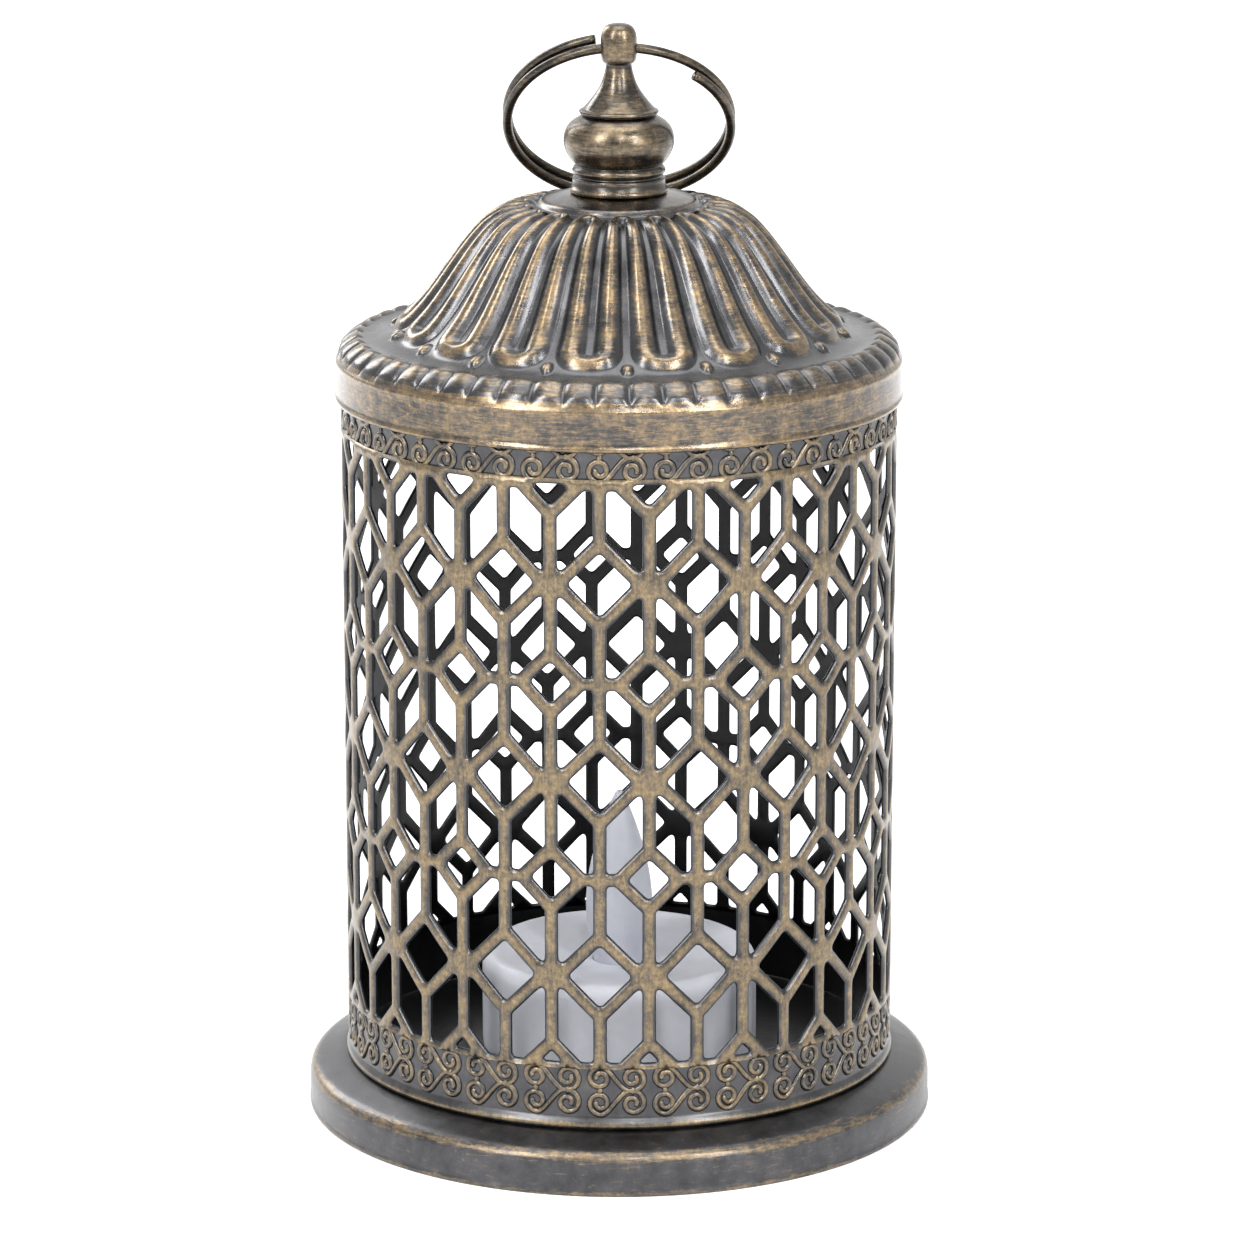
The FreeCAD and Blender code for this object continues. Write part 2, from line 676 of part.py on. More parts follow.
def hatch_form(name, margin, height, lip_height):
    """The battery hatch or, with a margin, the recess that takes it: a stepped disc with an ear."""
    lip = solid(
        "Prism", name + "_lip", Polygon="candle_sides", Circumradius=f"hatch_radius + {margin}", Height=lip_height
    )
    plug = solid(
        "Prism",
        name + "_plug",
        Polygon="candle_sides",
        Circumradius=f"well_radius - moulding_clearance + {margin}",
        Height=height,
    )
    ear_radius = f"(hatch_ear_radius + {margin})"
    ear = solid("Prism", name + "_ear", Polygon="flame_sides", Circumradius=ear_radius, Height=lip_height)
    neck = solid(
        "Box",
        name + "_neck",
        Length=f"2 * {ear_radius}",
        Width="boss_offset - hatch_offset",
        Height=lip_height,
    )
    place(lip, back="hatch_offset", up="floor_recess")
    place(plug, back="hatch_offset", up="floor_recess")
    place(ear, back="boss_offset", up="floor_recess")
    place(neck, across=f"-{ear_radius}", back="hatch_offset", up="floor_recess")
    return fuse(name, [lip, plug, ear, neck])


def screw_hole(name, radius):
    hole = solid("Cylinder", name, Radius=radius, Height="hatch_screw_length + moulding_clearance")
    return place(hole, back="boss_offset", up="floor_recess")


def make_candle_bottom():
    """The disc that closes the case, its battery hatch and the hatch's screw."""
    disc = solid(
        "Prism",
        "floor_disc",
        Polygon="candle_sides",
        Circumradius="inside_radius - moulding_clearance",
        Height="floor_thickness",
    )
    boss = solid(
        "Prism", "hatch_boss", Polygon="flame_sides", Circumradius="boss_radius", Height="boss_height"
    )
    rails = []
    for number in range(2):
        rail = solid("Box", f"rail_{number}", Length="rail_length", Width="rail_width", Height="switch_height")
        middle = f"{2 * number - 1} * (switch_width / 2 + moulding_clearance + rail_width / 2)"
        rails.append(
            place(rail, across="-rail_length / 2", back=f"{middle} - rail_width / 2 - switch_offset", up="floor_top")
        )
    slot = solid(
        "Box",
        "switch_slot",
        Length="nub_length + switch_travel + 2 * moulding_clearance",
        Width="switch_width",
        Height="floor_thickness",
    )
    place(
        slot,
        across="-nub_length / 2 - switch_travel / 2 - moulding_clearance",
        back="-switch_offset - switch_width / 2",
        up="floor_recess",
    )
    solids = [place(disc, up="floor_recess"), place(boss, back="boss_offset", up="floor_top")] + rails
    well = hatch_form("hatch_well", "moulding_clearance", "floor_thickness", "floor_thickness / 2")
    bore = screw_hole("boss_bore", "hatch_screw_radius + screw_clearance")
    floor = cut("case_floor", fuse("floor_blank", solids), fuse("floor_openings", [well, slot, bore]))
    node(place(floor, up="candle_foot"), "candle_floor")

    lip_height = "floor_thickness / 2 - screw_clearance"
    hatch = cut(
        "hatch",
        hatch_form("hatch_blank", "0", "floor_thickness", lip_height),
        screw_hole("hatch_bore", "hatch_screw_radius + moulding_clearance"),
    )
    node(place(hatch, up="candle_foot"), "battery_door")

    screw = screw_form(
        "hatch_screw",
        "hatch_screw_radius",
        "hatch_screw_length",
        "hatch_screw_head_radius",
        "hatch_screw_head_height",
    )
    return node(place(screw, back="boss_offset", up="candle_foot + floor_recess"), "door_screw")


def make_battery():
    """The coin cell on the hatch, and the strips that lead from it to the lamp."""
    cell = turned(
        "cell",
        "candle_sides",
        [
            ("cell_radius", "0"),
            ("cell_radius", "cell_thickness - cell_step"),
            ("cell_radius - cell_step", "cell_thickness - cell_step / 2"),
            ("cell_radius - cell_step", "cell_thickness"),
        ],
    )
    node(place(cell, back="hatch_offset", up="candle_foot + floor_top"), "coin_cell")

    outer, inner = "-well_radius - 2 * contact_thickness", "-well_radius - contact_thickness"
    under = "strip_top - contact_thickness"
    end = "-leg_spread / 2 + leg_side"
    positive = profile_body(
        "positive_strip",
        "XZ_Plane",
        [
            (outer, "floor_top"),
            (outer, "strip_top"),
            (end, "strip_top"),
            (end, under),
            (inner, under),
            (inner, "floor_top"),
        ],
        "contact_width",
    )
    node(place(positive, up="candle_foot"), "positive_contact")

    front = "hatch_offset - well_radius - 5 * contact_thickness"
    over = "cell_top + contact_thickness"
    negative = profile_body(
        "negative_strip",
        "YZ_Plane",
        [
            (front, "floor_top"),
            (front, over),
            ("hatch_offset", over),
            ("hatch_offset", "cell_top"),
            (front + " + contact_thickness", "cell_top"),
            (front + " + contact_thickness", "floor_top"),
        ],
        "contact_width",
    )
    node(place(negative, up="candle_foot"), "negative_contact")

    rest = "slider_top + moulding_clearance"
    switch = profile_body(
        "switch_strip",
        "YZ_Plane",
        [
            ("contact_width / 2", "strip_top"),
            ("-switch_offset - contact_thickness", "strip_top"),
            ("-switch_offset - contact_thickness", rest),
            ("-switch_offset", rest),
            ("-switch_offset", under),
            ("contact_width / 2", under),
        ],
        "contact_width",
    )
    return node(place(switch, across="leg_spread / 2", up="candle_foot"), "switch_contact")


# Outline of the flame above the case, as shares of flame_radius and of its height over the hollow's floor.
FLAME_SHARES = [
    (0.84, 0.10),
    (0.96, 0.22),
    (1.00, 0.33),
    (0.95, 0.47),
    (0.79, 0.62),
    (0.54, 0.78),
    (0.28, 0.91),
    (0.08, 1.00),
]
LAMP_DOME_SHARES = [(1.0, 0.0), (0.87, 0.5), (0.5, 0.87), (0.1, 1.0)]


def make_lamp():
    """Lamp with its two legs, under a hollow flame that is held by its rim under the case's top."""
    stations = [
        ("led_flange_radius", "0"),
        ("led_flange_radius", "0.8 * led_flange_height"),
        ("led_radius", "led_flange_height"),
    ]
    for wide, high in LAMP_DOME_SHARES:
        stations.append((f"{wide} * led_radius", f"led_height - {1 - high:.2f} * led_radius"))
    node(place(turned("lamp", "flame_sides", stations), up="candle_foot + led_foot"), "led")
    for label, sign in (("led_anode_leg", "-"), ("led_cathode_leg", "")):
        leg = solid("Box", label, Length="leg_side", Width="leg_side", Height="leg_length")
        across = f"{sign}leg_spread / 2 - leg_side / 2"
        node(place(leg, across=across, back="-leg_side / 2", up="candle_foot + strip_top"), label)

    outside = [
        ("flame_flange_radius", "0"),
        ("flame_flange_radius", "0.8 * flame_flange_height"),
        ("flame_foot_radius", "flame_flange_height"),
        ("flame_foot_radius", "dish_bottom - flame_foot"),
    ]
    for wide, high in FLAME_SHARES:
        rise = f"{high} * (candle_height + flame_rise - dish_bottom)"
        outside.append((f"{wide} * flame_radius", f"dish_bottom - flame_foot + {rise}"))
    lamp_top = "led_height - led_flange_height"
    bore = "led_radius + moulding_clearance"
    inside = [
        (bore, "0"),
        (bore, f"{lamp_top} - led_radius"),
        (bore, lamp_top),
        (f"({bore}) / 2", f"{lamp_top} + led_radius"),
    ]
    flame = cut(
        "flame",
        turned("flame_outside", "flame_sides", outside),
        turned("flame_inside", "flame_sides", inside),
    )
    return node(place(flame, up="candle_foot + flame_foot"), "flame")


def make_switch():
    """Slider between its rails, with a nub that reaches down through the closing disc."""
    under = "floor_top + screw_clearance"
    body = profile_body(
        "slider",
        "XZ_Plane",
        [
            ("-switch_length / 2", under),
            ("-nub_length / 2", under),
            ("-nub_length / 2", "nub_recess"),
            ("nub_length / 2", "nub_recess"),
            ("nub_length / 2", under),
            ("switch_length / 2", under),
            ("switch_length / 2", "slider_top"),
            ("-switch_length / 2", "slider_top"),
        ],
        "switch_width - 2 * screw_clearance",
    )
    return node(
        place(body, across="-switch_travel / 2", back="-switch_offset", up="candle_foot"), "switch_slider"
    )


doc = FreeCAD.newDocument("tin_lantern")
sheet = doc.addObject("Spreadsheet::Sheet", "Sizes")
put([(alias, str(number)) for alias, number, _ in SIZES], 1)
put([(alias, "=" + text) for alias, text in DERIVED], len(SIZES) + 1)
doc.recompute()

make_base_plate()
make_cage()
make_lid()
make_knob()
make_lid_fixing()
make_ring()
make_candle_case()
make_candle_bottom()
make_battery()
make_lamp()
make_switch()
doc.recompute()

for thing in doc.Objects:
    if "Invalid" in thing.State or "Error" in thing.State:
        raise RuntimeError(f"{thing.Name} did not build: {thing.State}")
for thing in NODES:
    if thing.Shape.isNull() or not thing.Shape.isValid() or len(thing.Shape.Solids) != 1:
        raise RuntimeError(f"{thing.Label} is not one sound solid")

os.makedirs("parts", exist_ok=True)
for thing in NODES:
    thing.Shape.exportStep(f"parts/{thing.Label}.step")
    print(f"{thing.Label}: {thing.Shape.Volume:.1f} mm3")
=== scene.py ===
import json
import math

import bpy
import numpy as np
from mathutils import Matrix, Vector
from mathutils.geometry import delaunay_2d_cdt

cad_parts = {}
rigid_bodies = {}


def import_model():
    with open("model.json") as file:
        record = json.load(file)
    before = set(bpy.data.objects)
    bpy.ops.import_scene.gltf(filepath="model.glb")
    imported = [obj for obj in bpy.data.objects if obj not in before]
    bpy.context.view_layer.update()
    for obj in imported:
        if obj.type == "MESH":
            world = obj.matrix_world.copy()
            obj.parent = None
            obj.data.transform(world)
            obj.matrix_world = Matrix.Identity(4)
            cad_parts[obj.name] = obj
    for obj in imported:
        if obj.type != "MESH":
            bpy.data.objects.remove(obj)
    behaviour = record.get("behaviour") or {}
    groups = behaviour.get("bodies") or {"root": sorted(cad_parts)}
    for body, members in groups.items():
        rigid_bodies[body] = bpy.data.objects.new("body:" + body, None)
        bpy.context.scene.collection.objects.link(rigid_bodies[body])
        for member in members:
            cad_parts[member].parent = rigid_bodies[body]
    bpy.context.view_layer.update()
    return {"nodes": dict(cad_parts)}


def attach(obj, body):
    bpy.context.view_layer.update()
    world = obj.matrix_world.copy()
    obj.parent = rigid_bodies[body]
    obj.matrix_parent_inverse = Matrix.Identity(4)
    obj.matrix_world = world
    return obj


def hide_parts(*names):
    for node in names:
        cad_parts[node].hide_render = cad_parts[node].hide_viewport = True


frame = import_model()
MM = 0.001
TAU = 2 * math.pi

# heights of the solids and the cage's outer radius, in millimetres, and their turns about the upright axis
PLATFORM, CAGE_TOP, LID_FOOT, LID_TOP, PIVOT = 7.4, 104.4, 99.4, 127.0, 146.4
CANDLE_FOOT = 7.45
CAGE_R = 37.6
CAGE_TURN, LID_TURN = math.radians(-93.8), math.radians(-77.8)


# mesh helpers


def mesh_object(name, verts, faces, relief):
    """A piece from points in millimetres; relief is a value per point that its material reads."""
    mesh = bpy.data.meshes.new(name)
    mesh.from_pydata((np.asarray(verts, float) * MM).tolist(), [], faces)
    mesh.update()
    mesh.polygons.foreach_set("use_smooth", [True] * len(mesh.polygons))
    layer = mesh.attributes.new("relief", "FLOAT", "POINT")
    layer.data.foreach_set("value", np.asarray(relief, np.float32).ravel())
    piece = bpy.data.objects.new(name, mesh)
    bpy.context.scene.collection.objects.link(piece)
    return piece


def lift_by(piece, height):
    piece.data.transform(Matrix.Translation((0, 0, height * MM)))


def rounded(points, closed=False, step=0.6):
    """A smooth line through corners (x, y, round); each corner is rounded by that much of its two sides."""
    count = len(points)
    out = []
    for i, (x, y, reach) in enumerate(points):
        here = np.array((x, y))
        if not closed and i in (0, count - 1) or reach == 0:
            out.append(here)
            continue
        back = np.array(points[i - 1][:2]) - here
        ahead = np.array(points[(i + 1) % count][:2]) - here
        a = here + back * min(0.49, reach / max(np.linalg.norm(back), 1e-9))
        b = here + ahead * min(0.49, reach / max(np.linalg.norm(ahead), 1e-9))
        steps = 5 if reach < 1.2 else 8
        for k in range(steps + 1):
            t = k / steps
            out.append((1 - t) ** 2 * a + 2 * t * (1 - t) * here + t * t * b)
    dense = [out[0]]
    pairs = list(zip(out, out[1:])) + ([(out[-1], out[0])] if closed else [])
    for a, b in pairs:
        length = np.linalg.norm(b - a)
        if length < 1e-6:
            continue
        parts = max(1, math.ceil(length / step))
        dense += [a + (b - a) * (k + 1) / parts for k in range(parts)]
    if closed:
        dense.pop()
    return np.array(dense)


def normals_2d(line, closed=True):
    """Unit normals to the right of a line's direction."""
    if closed:
        run = np.roll(line, -1, 0) - np.roll(line, 1, 0)
    else:
        run = np.gradient(line, axis=0)
    run /= np.maximum(np.linalg.norm(run, axis=1, keepdims=True), 1e-12)
    return np.stack([run[:, 1], -run[:, 0]], 1)


def angles_of(count):
    return np.arange(count) * TAU / count


def lathe(name, line, count, relief, lift=0.0):
    """A turned form from a closed line of (radius, height); lift moves its points along their normals."""
    angles = angles_of(count)
    across = normals_2d(line)
    raised = np.broadcast_to(lift, (len(line), count))
    radius = line[:, 0:1] + across[:, 0:1] * raised
    height = line[:, 1:2] + across[:, 1:2] * raised
    verts = np.stack([radius * np.cos(angles), radius * np.sin(angles), height], 2).reshape(-1, 3)
    i, j = np.meshgrid(np.arange(len(line)), np.arange(count), indexing="ij")
    i2, j2 = (i + 1) % len(line), (j + 1) % count
    quads = np.stack([i * count + j, i * count + j2, i2 * count + j2, i2 * count + j], 2).reshape(-1, 4)
    return mesh_object(name, verts, quads.tolist(), np.broadcast_to(relief, raised.shape))


def bump(x, middle, width):
    """A soft hill of height 1."""
    return np.exp(-(((x - middle) / width) ** 2))


def smooth_step(x, low, high):
    """0 below low, 1 above high and smooth between."""
    t = np.clip((x - low) / (high - low), 0, 1)
    return t * t * (3 - 2 * t)


# materials


def shader(name, rough=0.4, metal=0.0):
    material = bpy.data.materials.new(name)
    material.use_nodes = True
    nodes = material.node_tree.nodes
    surface = nodes["Principled BSDF"]
    surface.inputs["Roughness"].default_value = rough
    surface.inputs["Metallic"].default_value = metal
    return material, nodes, material.node_tree.links, surface


def add(nodes, kind, **values):
    """A shader node; each value sets a property of it, or an input where its name starts with i_."""
    node = nodes.new(kind)
    for key, value in values.items():
        if key.startswith("i_"):
            node.inputs[key[2:].replace("_", " ")].default_value = value
        else:
            setattr(node, key, value)
    return node


def ramp(nodes, links, source, *stops):
    """A colour ramp fed by a source; a stop is a place and a colour or a grey."""
    node = nodes.new("ShaderNodeValToRGB")
    items = node.color_ramp.elements
    while len(items) < len(stops):
        items.new(0.5)
    for item, (place, colour) in zip(items, stops):
        item.position = place
        item.color = (*colour, 1) if isinstance(colour, tuple) else (colour, colour, colour, 1)
    links.new(source, node.inputs[0])
    return node


# noise scales of the patina: how many features fall in a metre
PATCHES, GRAINS, CURLS, RUBS = 270.0, 1440.0, 450.0, 3200.0


def patina(name, gold, dark, wear, rough, brush=(0.12, 0.12, 1.0), scratch=0.25):
    """Rubbed brass over a dark patina.

    A point's relief says how much brass shows there, and below 0 the dark patina is darkened as painted shade
    for inner, back and under faces. wear is how far the brass is rubbed in all, rough the least and most
    roughness, brush the shares that stretch rubbed lines.
    """
    material, nodes, links, surface = shader(name, metal=1.0)
    where = add(nodes, "ShaderNodeTexCoord")
    relief = add(nodes, "ShaderNodeAttribute", attribute_name="relief")
    patches = add(nodes, "ShaderNodeTexNoise", i_Scale=PATCHES, i_Detail=7.0, i_Roughness=0.7)
    grains = add(nodes, "ShaderNodeTexNoise", i_Scale=GRAINS, i_Detail=8.0, i_Roughness=0.75)
    for node in (patches, grains):
        links.new(where.outputs["Object"], node.inputs["Vector"])
    drawn = add(nodes, "ShaderNodeMapping")
    drawn.inputs["Scale"].default_value = brush
    links.new(where.outputs["Object"], drawn.inputs["Vector"])
    rubs = add(nodes, "ShaderNodeTexNoise", i_Scale=RUBS, i_Detail=4.0, i_Roughness=0.75)
    links.new(drawn.outputs[0], rubs.inputs["Vector"])

    def sum_of(source, weight, before):
        node = add(nodes, "ShaderNodeMath", operation="MULTIPLY_ADD")
        links.new(source, node.inputs[0])
        node.inputs[1].default_value = weight
        if before is None:
            node.inputs[2].default_value = 0.0
        else:
            links.new(before, node.inputs[2])
        return node.outputs[0]

    total = sum_of(relief.outputs["Fac"], 0.8, None)
    total = sum_of(patches.outputs["Fac"], 1.5, total)
    total = sum_of(grains.outputs["Fac"], 0.45, total)
    lines = ramp(nodes, links, rubs.outputs["Fac"], (0.40, 0.0), (0.68, 1.0))
    total = sum_of(lines.outputs[0], scratch * 2, total)
    curls = add(nodes, "ShaderNodeTexNoise", i_Scale=CURLS, i_Detail=1.5, i_Roughness=0.5)
    links.new(drawn.outputs[0], curls.inputs["Vector"])
    hairs = ramp(nodes, links, curls.outputs["Fac"], (0.491, 0.0), (0.497, 1.0), (0.503, 0.0))
    total = sum_of(hairs.outputs[0], scratch * 1.6, total)
    share = add(nodes, "ShaderNodeMapRange")
    begin = 1.6 + scratch * 0.9 - wear
    share.inputs["From Min"].default_value, share.inputs["From Max"].default_value = begin, begin + 0.6
    links.new(total, share.inputs["Value"])
    shades = ramp(
        nodes,
        links,
        grains.outputs["Fac"],
        (0.3, tuple(0.5 * c for c in gold)),
        (0.5, gold),
        (0.7, tuple(min(1.0, 1.6 * c) for c in gold)),
    )
    slate = ramp(
        nodes,
        links,
        patches.outputs["Fac"],
        (0.3, tuple(0.65 * c for c in dark)),
        (0.7, tuple(1.5 * c for c in dark)),
    )
    # painted shade: relief from -1 to 0 scales the dark patina from 0.18 of its colour to all of it,
    # darkening inner, back and under faces
    painted_shade_scale = add(nodes, "ShaderNodeMapRange")
    painted_shade_scale.inputs["From Min"].default_value, painted_shade_scale.inputs["To Min"].default_value = -1.0, 0.18
    painted_shade_scale.inputs["From Max"].default_value, painted_shade_scale.inputs["To Max"].default_value = 0.0, 1.0
    links.new(relief.outputs["Fac"], painted_shade_scale.inputs["Value"])
    shaded = add(nodes, "ShaderNodeVectorMath", operation="SCALE")
    links.new(slate.outputs[0], shaded.inputs[0])
    links.new(painted_shade_scale.outputs[0], shaded.inputs["Scale"])
    colour = add(nodes, "ShaderNodeMix", data_type="RGBA")
    links.new(share.outputs[0], colour.inputs["Factor"])
    links.new(shaded.outputs[0], colour.inputs["A"])
    links.new(shades.outputs[0], colour.inputs["B"])
    links.new(colour.outputs["Result"], surface.inputs["Base Color"])
    gloss = add(nodes, "ShaderNodeMapRange")
    gloss.inputs["From Min"].default_value, gloss.inputs["From Max"].default_value = 0.3, 0.7
    gloss.inputs["To Min"].default_value, gloss.inputs["To Max"].default_value = rough
    links.new(patches.outputs["Fac"], gloss.inputs["Value"])
    links.new(gloss.outputs[0], surface.inputs["Roughness"])
    dents = add(nodes, "ShaderNodeBump", i_Strength=0.4, i_Distance=0.03 * MM)
    links.new(total, dents.inputs["Height"])
    links.new(dents.outputs[0], surface.inputs["Normal"])
    surface.inputs["Coat Weight"].default_value = 0.4
    surface.inputs["Coat Roughness"].default_value = 0.22
    return material


def plain(name, colour, rough, spread, metal=0.0, see=0.0):
    """A moulded or metal surface, slightly uneven; see is the share of light that goes into it."""
    material, nodes, links, surface = shader(name, rough, metal)
    where = add(nodes, "ShaderNodeTexCoord")
    grains = add(nodes, "ShaderNodeTexNoise", i_Scale=700.0, i_Detail=5.0, i_Roughness=0.6)
    links.new(where.outputs["Object"], grains.inputs["Vector"])
    shades = ramp(
        nodes,
        links,
        grains.outputs["Fac"],
        (0.3, tuple(c * (1 - spread) for c in colour)),
        (0.7, tuple(min(1.0, c * (1 + spread)) for c in colour)),
    )
    links.new(shades.outputs[0], surface.inputs["Base Color"])
    gloss = add(nodes, "ShaderNodeMapRange")
    gloss.inputs["To Min"].default_value = rough - 0.06
    gloss.inputs["To Max"].default_value = rough + 0.06
    links.new(grains.outputs["Fac"], gloss.inputs["Value"])
    links.new(gloss.outputs[0], surface.inputs["Roughness"])
    dents = add(nodes, "ShaderNodeBump", i_Strength=0.25, i_Distance=0.02 * MM)
    links.new(grains.outputs["Fac"], dents.inputs["Height"])
    links.new(dents.outputs[0], surface.inputs["Normal"])
    if see:
        surface.inputs["Subsurface Weight"].default_value = see
        surface.inputs["Subsurface Radius"].default_value = (0.004, 0.0035, 0.003)
        surface.inputs["Subsurface Scale"].default_value = 1.0
    return material


SLATE = (0.054, 0.054, 0.057)
LID_METAL = patina("lid_metal", (0.228, 0.162, 0.090), SLATE, wear=0.34, rough=(0.19, 0.36))
CAGE_METAL = patina(
    "cage_metal",
    (0.195, 0.144, 0.081),
    SLATE,
    wear=0.30,
    rough=(0.26, 0.42),
    brush=(1.0, 1.0, 0.12),
    scratch=0.18,
)
BASE_METAL = patina(
    "base_metal",
    (0.185, 0.136, 0.082),
    (0.056, 0.056, 0.060),
    wear=0.21,
    rough=(0.3, 0.48),
    scratch=0.36,
)
KNOB_METAL = patina("knob_metal", (0.175, 0.130, 0.078), (0.036, 0.032, 0.028), wear=0.25, rough=(0.2, 0.36))
WIRE_METAL = patina("wire_metal", (0.12, 0.089, 0.053), (0.030, 0.025, 0.020), wear=0.15, rough=(0.26, 0.42))
CASE = plain("case_plastic", (0.70, 0.71, 0.77), 0.42, spread=0.03, see=0.15)
FLAME = plain("flame_plastic", (0.56, 0.57, 0.63), 0.38, spread=0.03, see=0.3)
STEEL = plain("steel", (0.5, 0.5, 0.51), 0.3, spread=0.1, metal=1.0)
STRIP = plain("strip_metal", (0.55, 0.50, 0.40), 0.28, spread=0.08, metal=1.0)
LAMP = plain("lamp_resin", (0.75, 0.68, 0.5), 0.15, spread=0.03, see=0.5)
BLACK = plain("switch_plastic", (0.018, 0.018, 0.02), 0.45, spread=0.2)


def dress(piece, material, body, slot, *nodes):
    """Gives a piece its material and its moving body, and lets it take the place of CAD nodes; slot is not
    used.
    """
    piece.data.materials.clear()
    piece.data.materials.append(material)
    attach(piece, body)
    if nodes:
        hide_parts(*nodes)


# foot plate


# section of the plate: (radius, height, rounding)
FOOT_LINE = [
    (42.35, 0.0, 0.1),
    (43.0, 0.0, 0.25),
    (43.12, 0.45, 0.25),
    (42.98, 0.95, 0.3),
    (42.98, 5.0, 1.1),
    (42.2, 5.95, 0.8),
    (38.4, 7.3, 0.8),
    (37.4, 7.4, 0.4),
    (0.02, 7.4, 0),
    (0.02, 6.75, 0),
    (37.7, 6.75, 0.6),
    (42.3, 5.0, 1.0),
]


def foot_plate():
    line = rounded(FOOT_LINE, closed=True, step=1.0)
    r, z = line[:, 0:1], line[:, 1:2]
    count = 256
    angles = angles_of(count)
    edge = 1.3 * bump(z, 5.45, 0.6) * (r > 40.8)
    hem = 0.8 * bump(z, 0.35, 0.35) * (r > 42.5)
    side = 0.3 * (r > 42.7)
    uneven = 0.85 + 0.15 * np.sin(3 * angles + 1) * np.sin(7 * angles)
    # painted shade: relief -1 darkens the plate's top inside the cage and its underside
    inside_and_under_shade = np.where((r < 37.0) | (r < 42.3) & (z < 5.2), -1.0, 0.0)
    relief = np.clip((edge + hem + side) * uneven, 0, 1.1) + 0.05 + inside_and_under_shade
    piece = lathe("foot_plate_pressing", line, count, relief)
    dress(piece, BASE_METAL, "lantern", "foot_tin", "base_plate")


# cage: lattice

AROUND = CAGE_R * TAU
LINES, ROWS, PITCH = 36, 7, 13.28
COLUMN = AROUND / LINES
ROW_0 = PLATFORM + 7.92
BAND_LOW, BAND_HIGH = PLATFORM + 9.3, ROW_0 + (ROWS - 1) * PITCH
STRUT = 1.8
# half diagonals of the diamonds, and half the height of the links beside the small ones
LARGE, SMALL, LINK = 5.55, 4.1, 0.85
WINDOW_ROUND, NOTCH_ROUND = 0.7, 0.35
# rim of a window from its inner face to the flat, and its back: (away from its edge, over CAGE_R, relief);
# relief below 0 is painted shade on the cut edge and the back
RIM = (
    (0.0, -0.62, -1.0),
    (0.0, -0.38, -0.6),
    (0.08, -0.24, 0.0),
    (0.22, -0.13, 0.45),
    (0.46, -0.03, 0.85),
    (0.74, 0.04, 1.0),
)
RIM_BACK = (0.30, -0.66, -1.0)
# how far the struts' middle lies over CAGE_R, and how far the sheet goes on past the lattice
CROWN, BORDER = 0.05, 0.75


def openings():
    """Corners (along, height) and corner radius of the lattice's windows; along grows with the angle.

    Odd rows have large diamonds on the even lines. Even rows have small diamonds on the odd lines, and short
    links hold them to the uprights on the even lines.
    """
    inset = STRUT / math.sqrt(2)
    near, far = STRUT / 2, COLUMN - STRUT / 2
    found = []
    for line in range(LINES):
        for row in range(ROWS):
            z = ROW_0 + row * PITCH
            reach = (LARGE if row % 2 else SMALL) - inset
            if (row + line) % 2:
                radius = WINDOW_ROUND
                corners = [(0, z - reach), (reach, z), (0, z + reach), (-reach, z)]
                if row == 0:
                    half, radius = z + reach - BAND_LOW, NOTCH_ROUND
                    corners = [(-half, BAND_LOW), (half, BAND_LOW), (0, z + reach)]
                elif row == ROWS - 1:
                    corners = [(0, z - reach), (reach, z), (-reach, z)]
                found.append(([(line * COLUMN + x, y) for x, y in corners], radius))
            if row == ROWS - 1:
                continue
            small_z, up = (z + PITCH, -1) if row % 2 else (z, 1)
            base = BAND_LOW - ROW_0 if row == 0 else LINK
            window = [
                (near, PITCH - LARGE - inset + near),
                (near, base),
                (COLUMN - (SMALL + inset - base), base),
                (far, SMALL + inset - near),
                (far, PITCH - LARGE - inset + far),
            ]
            even, way = (line + 1, -1) if line % 2 else (line, 1)
            corners = [(even * COLUMN + way * u, small_z + up * v) for u, v in window]
            if way * up < 0:
                corners.reverse()
            found.append((corners, WINDOW_ROUND))
    return found


def wrap(points, radius):
    """Points (along, height) laid round the cage's axis at a radius."""
    angle = points[:, 0] / CAGE_R + CAGE_TURN
    return np.stack([radius * np.cos(angle), radius * np.sin(angle), points[:, 1]], 1)


def eased(corners, radius):
    """Corners with the reach that gives each of them the same radius."""
    out = []
    for i, corner in enumerate(corners):
        here = np.array(corner)
        back, ahead = np.array(corners[i - 1]) - here, np.array(corners[(i + 1) % len(corners)]) - here
        turn = math.acos(float(back @ ahead / np.linalg.norm(back) / np.linalg.norm(ahead)))
        out.append((*corner, radius / math.tan(turn / 2)))
    return out


def seam_line(low, high):
    """Upright line along the struts, round the right of each large diamond, where the plan is closed."""
    bends = [(0.0, low)]
    for row in range(1, ROWS, 2):
        z = ROW_0 + row * PITCH
        bends += [(0.0, z - LARGE), (LARGE, z), (0.0, z + LARGE)]
    bends.append((0.0, high))
    seam = [bends[0]]
    for (x0, y0), (x1, y1) in zip(bends, bends[1:]):
        parts = max(1, round(math.hypot(x1 - x0, y1 - y0) / 1.5))
        seam += [(x0 + (x1 - x0) * k / parts, y0 + (y1 - y0) * k / parts) for k in range(1, parts + 1)]
    return seam


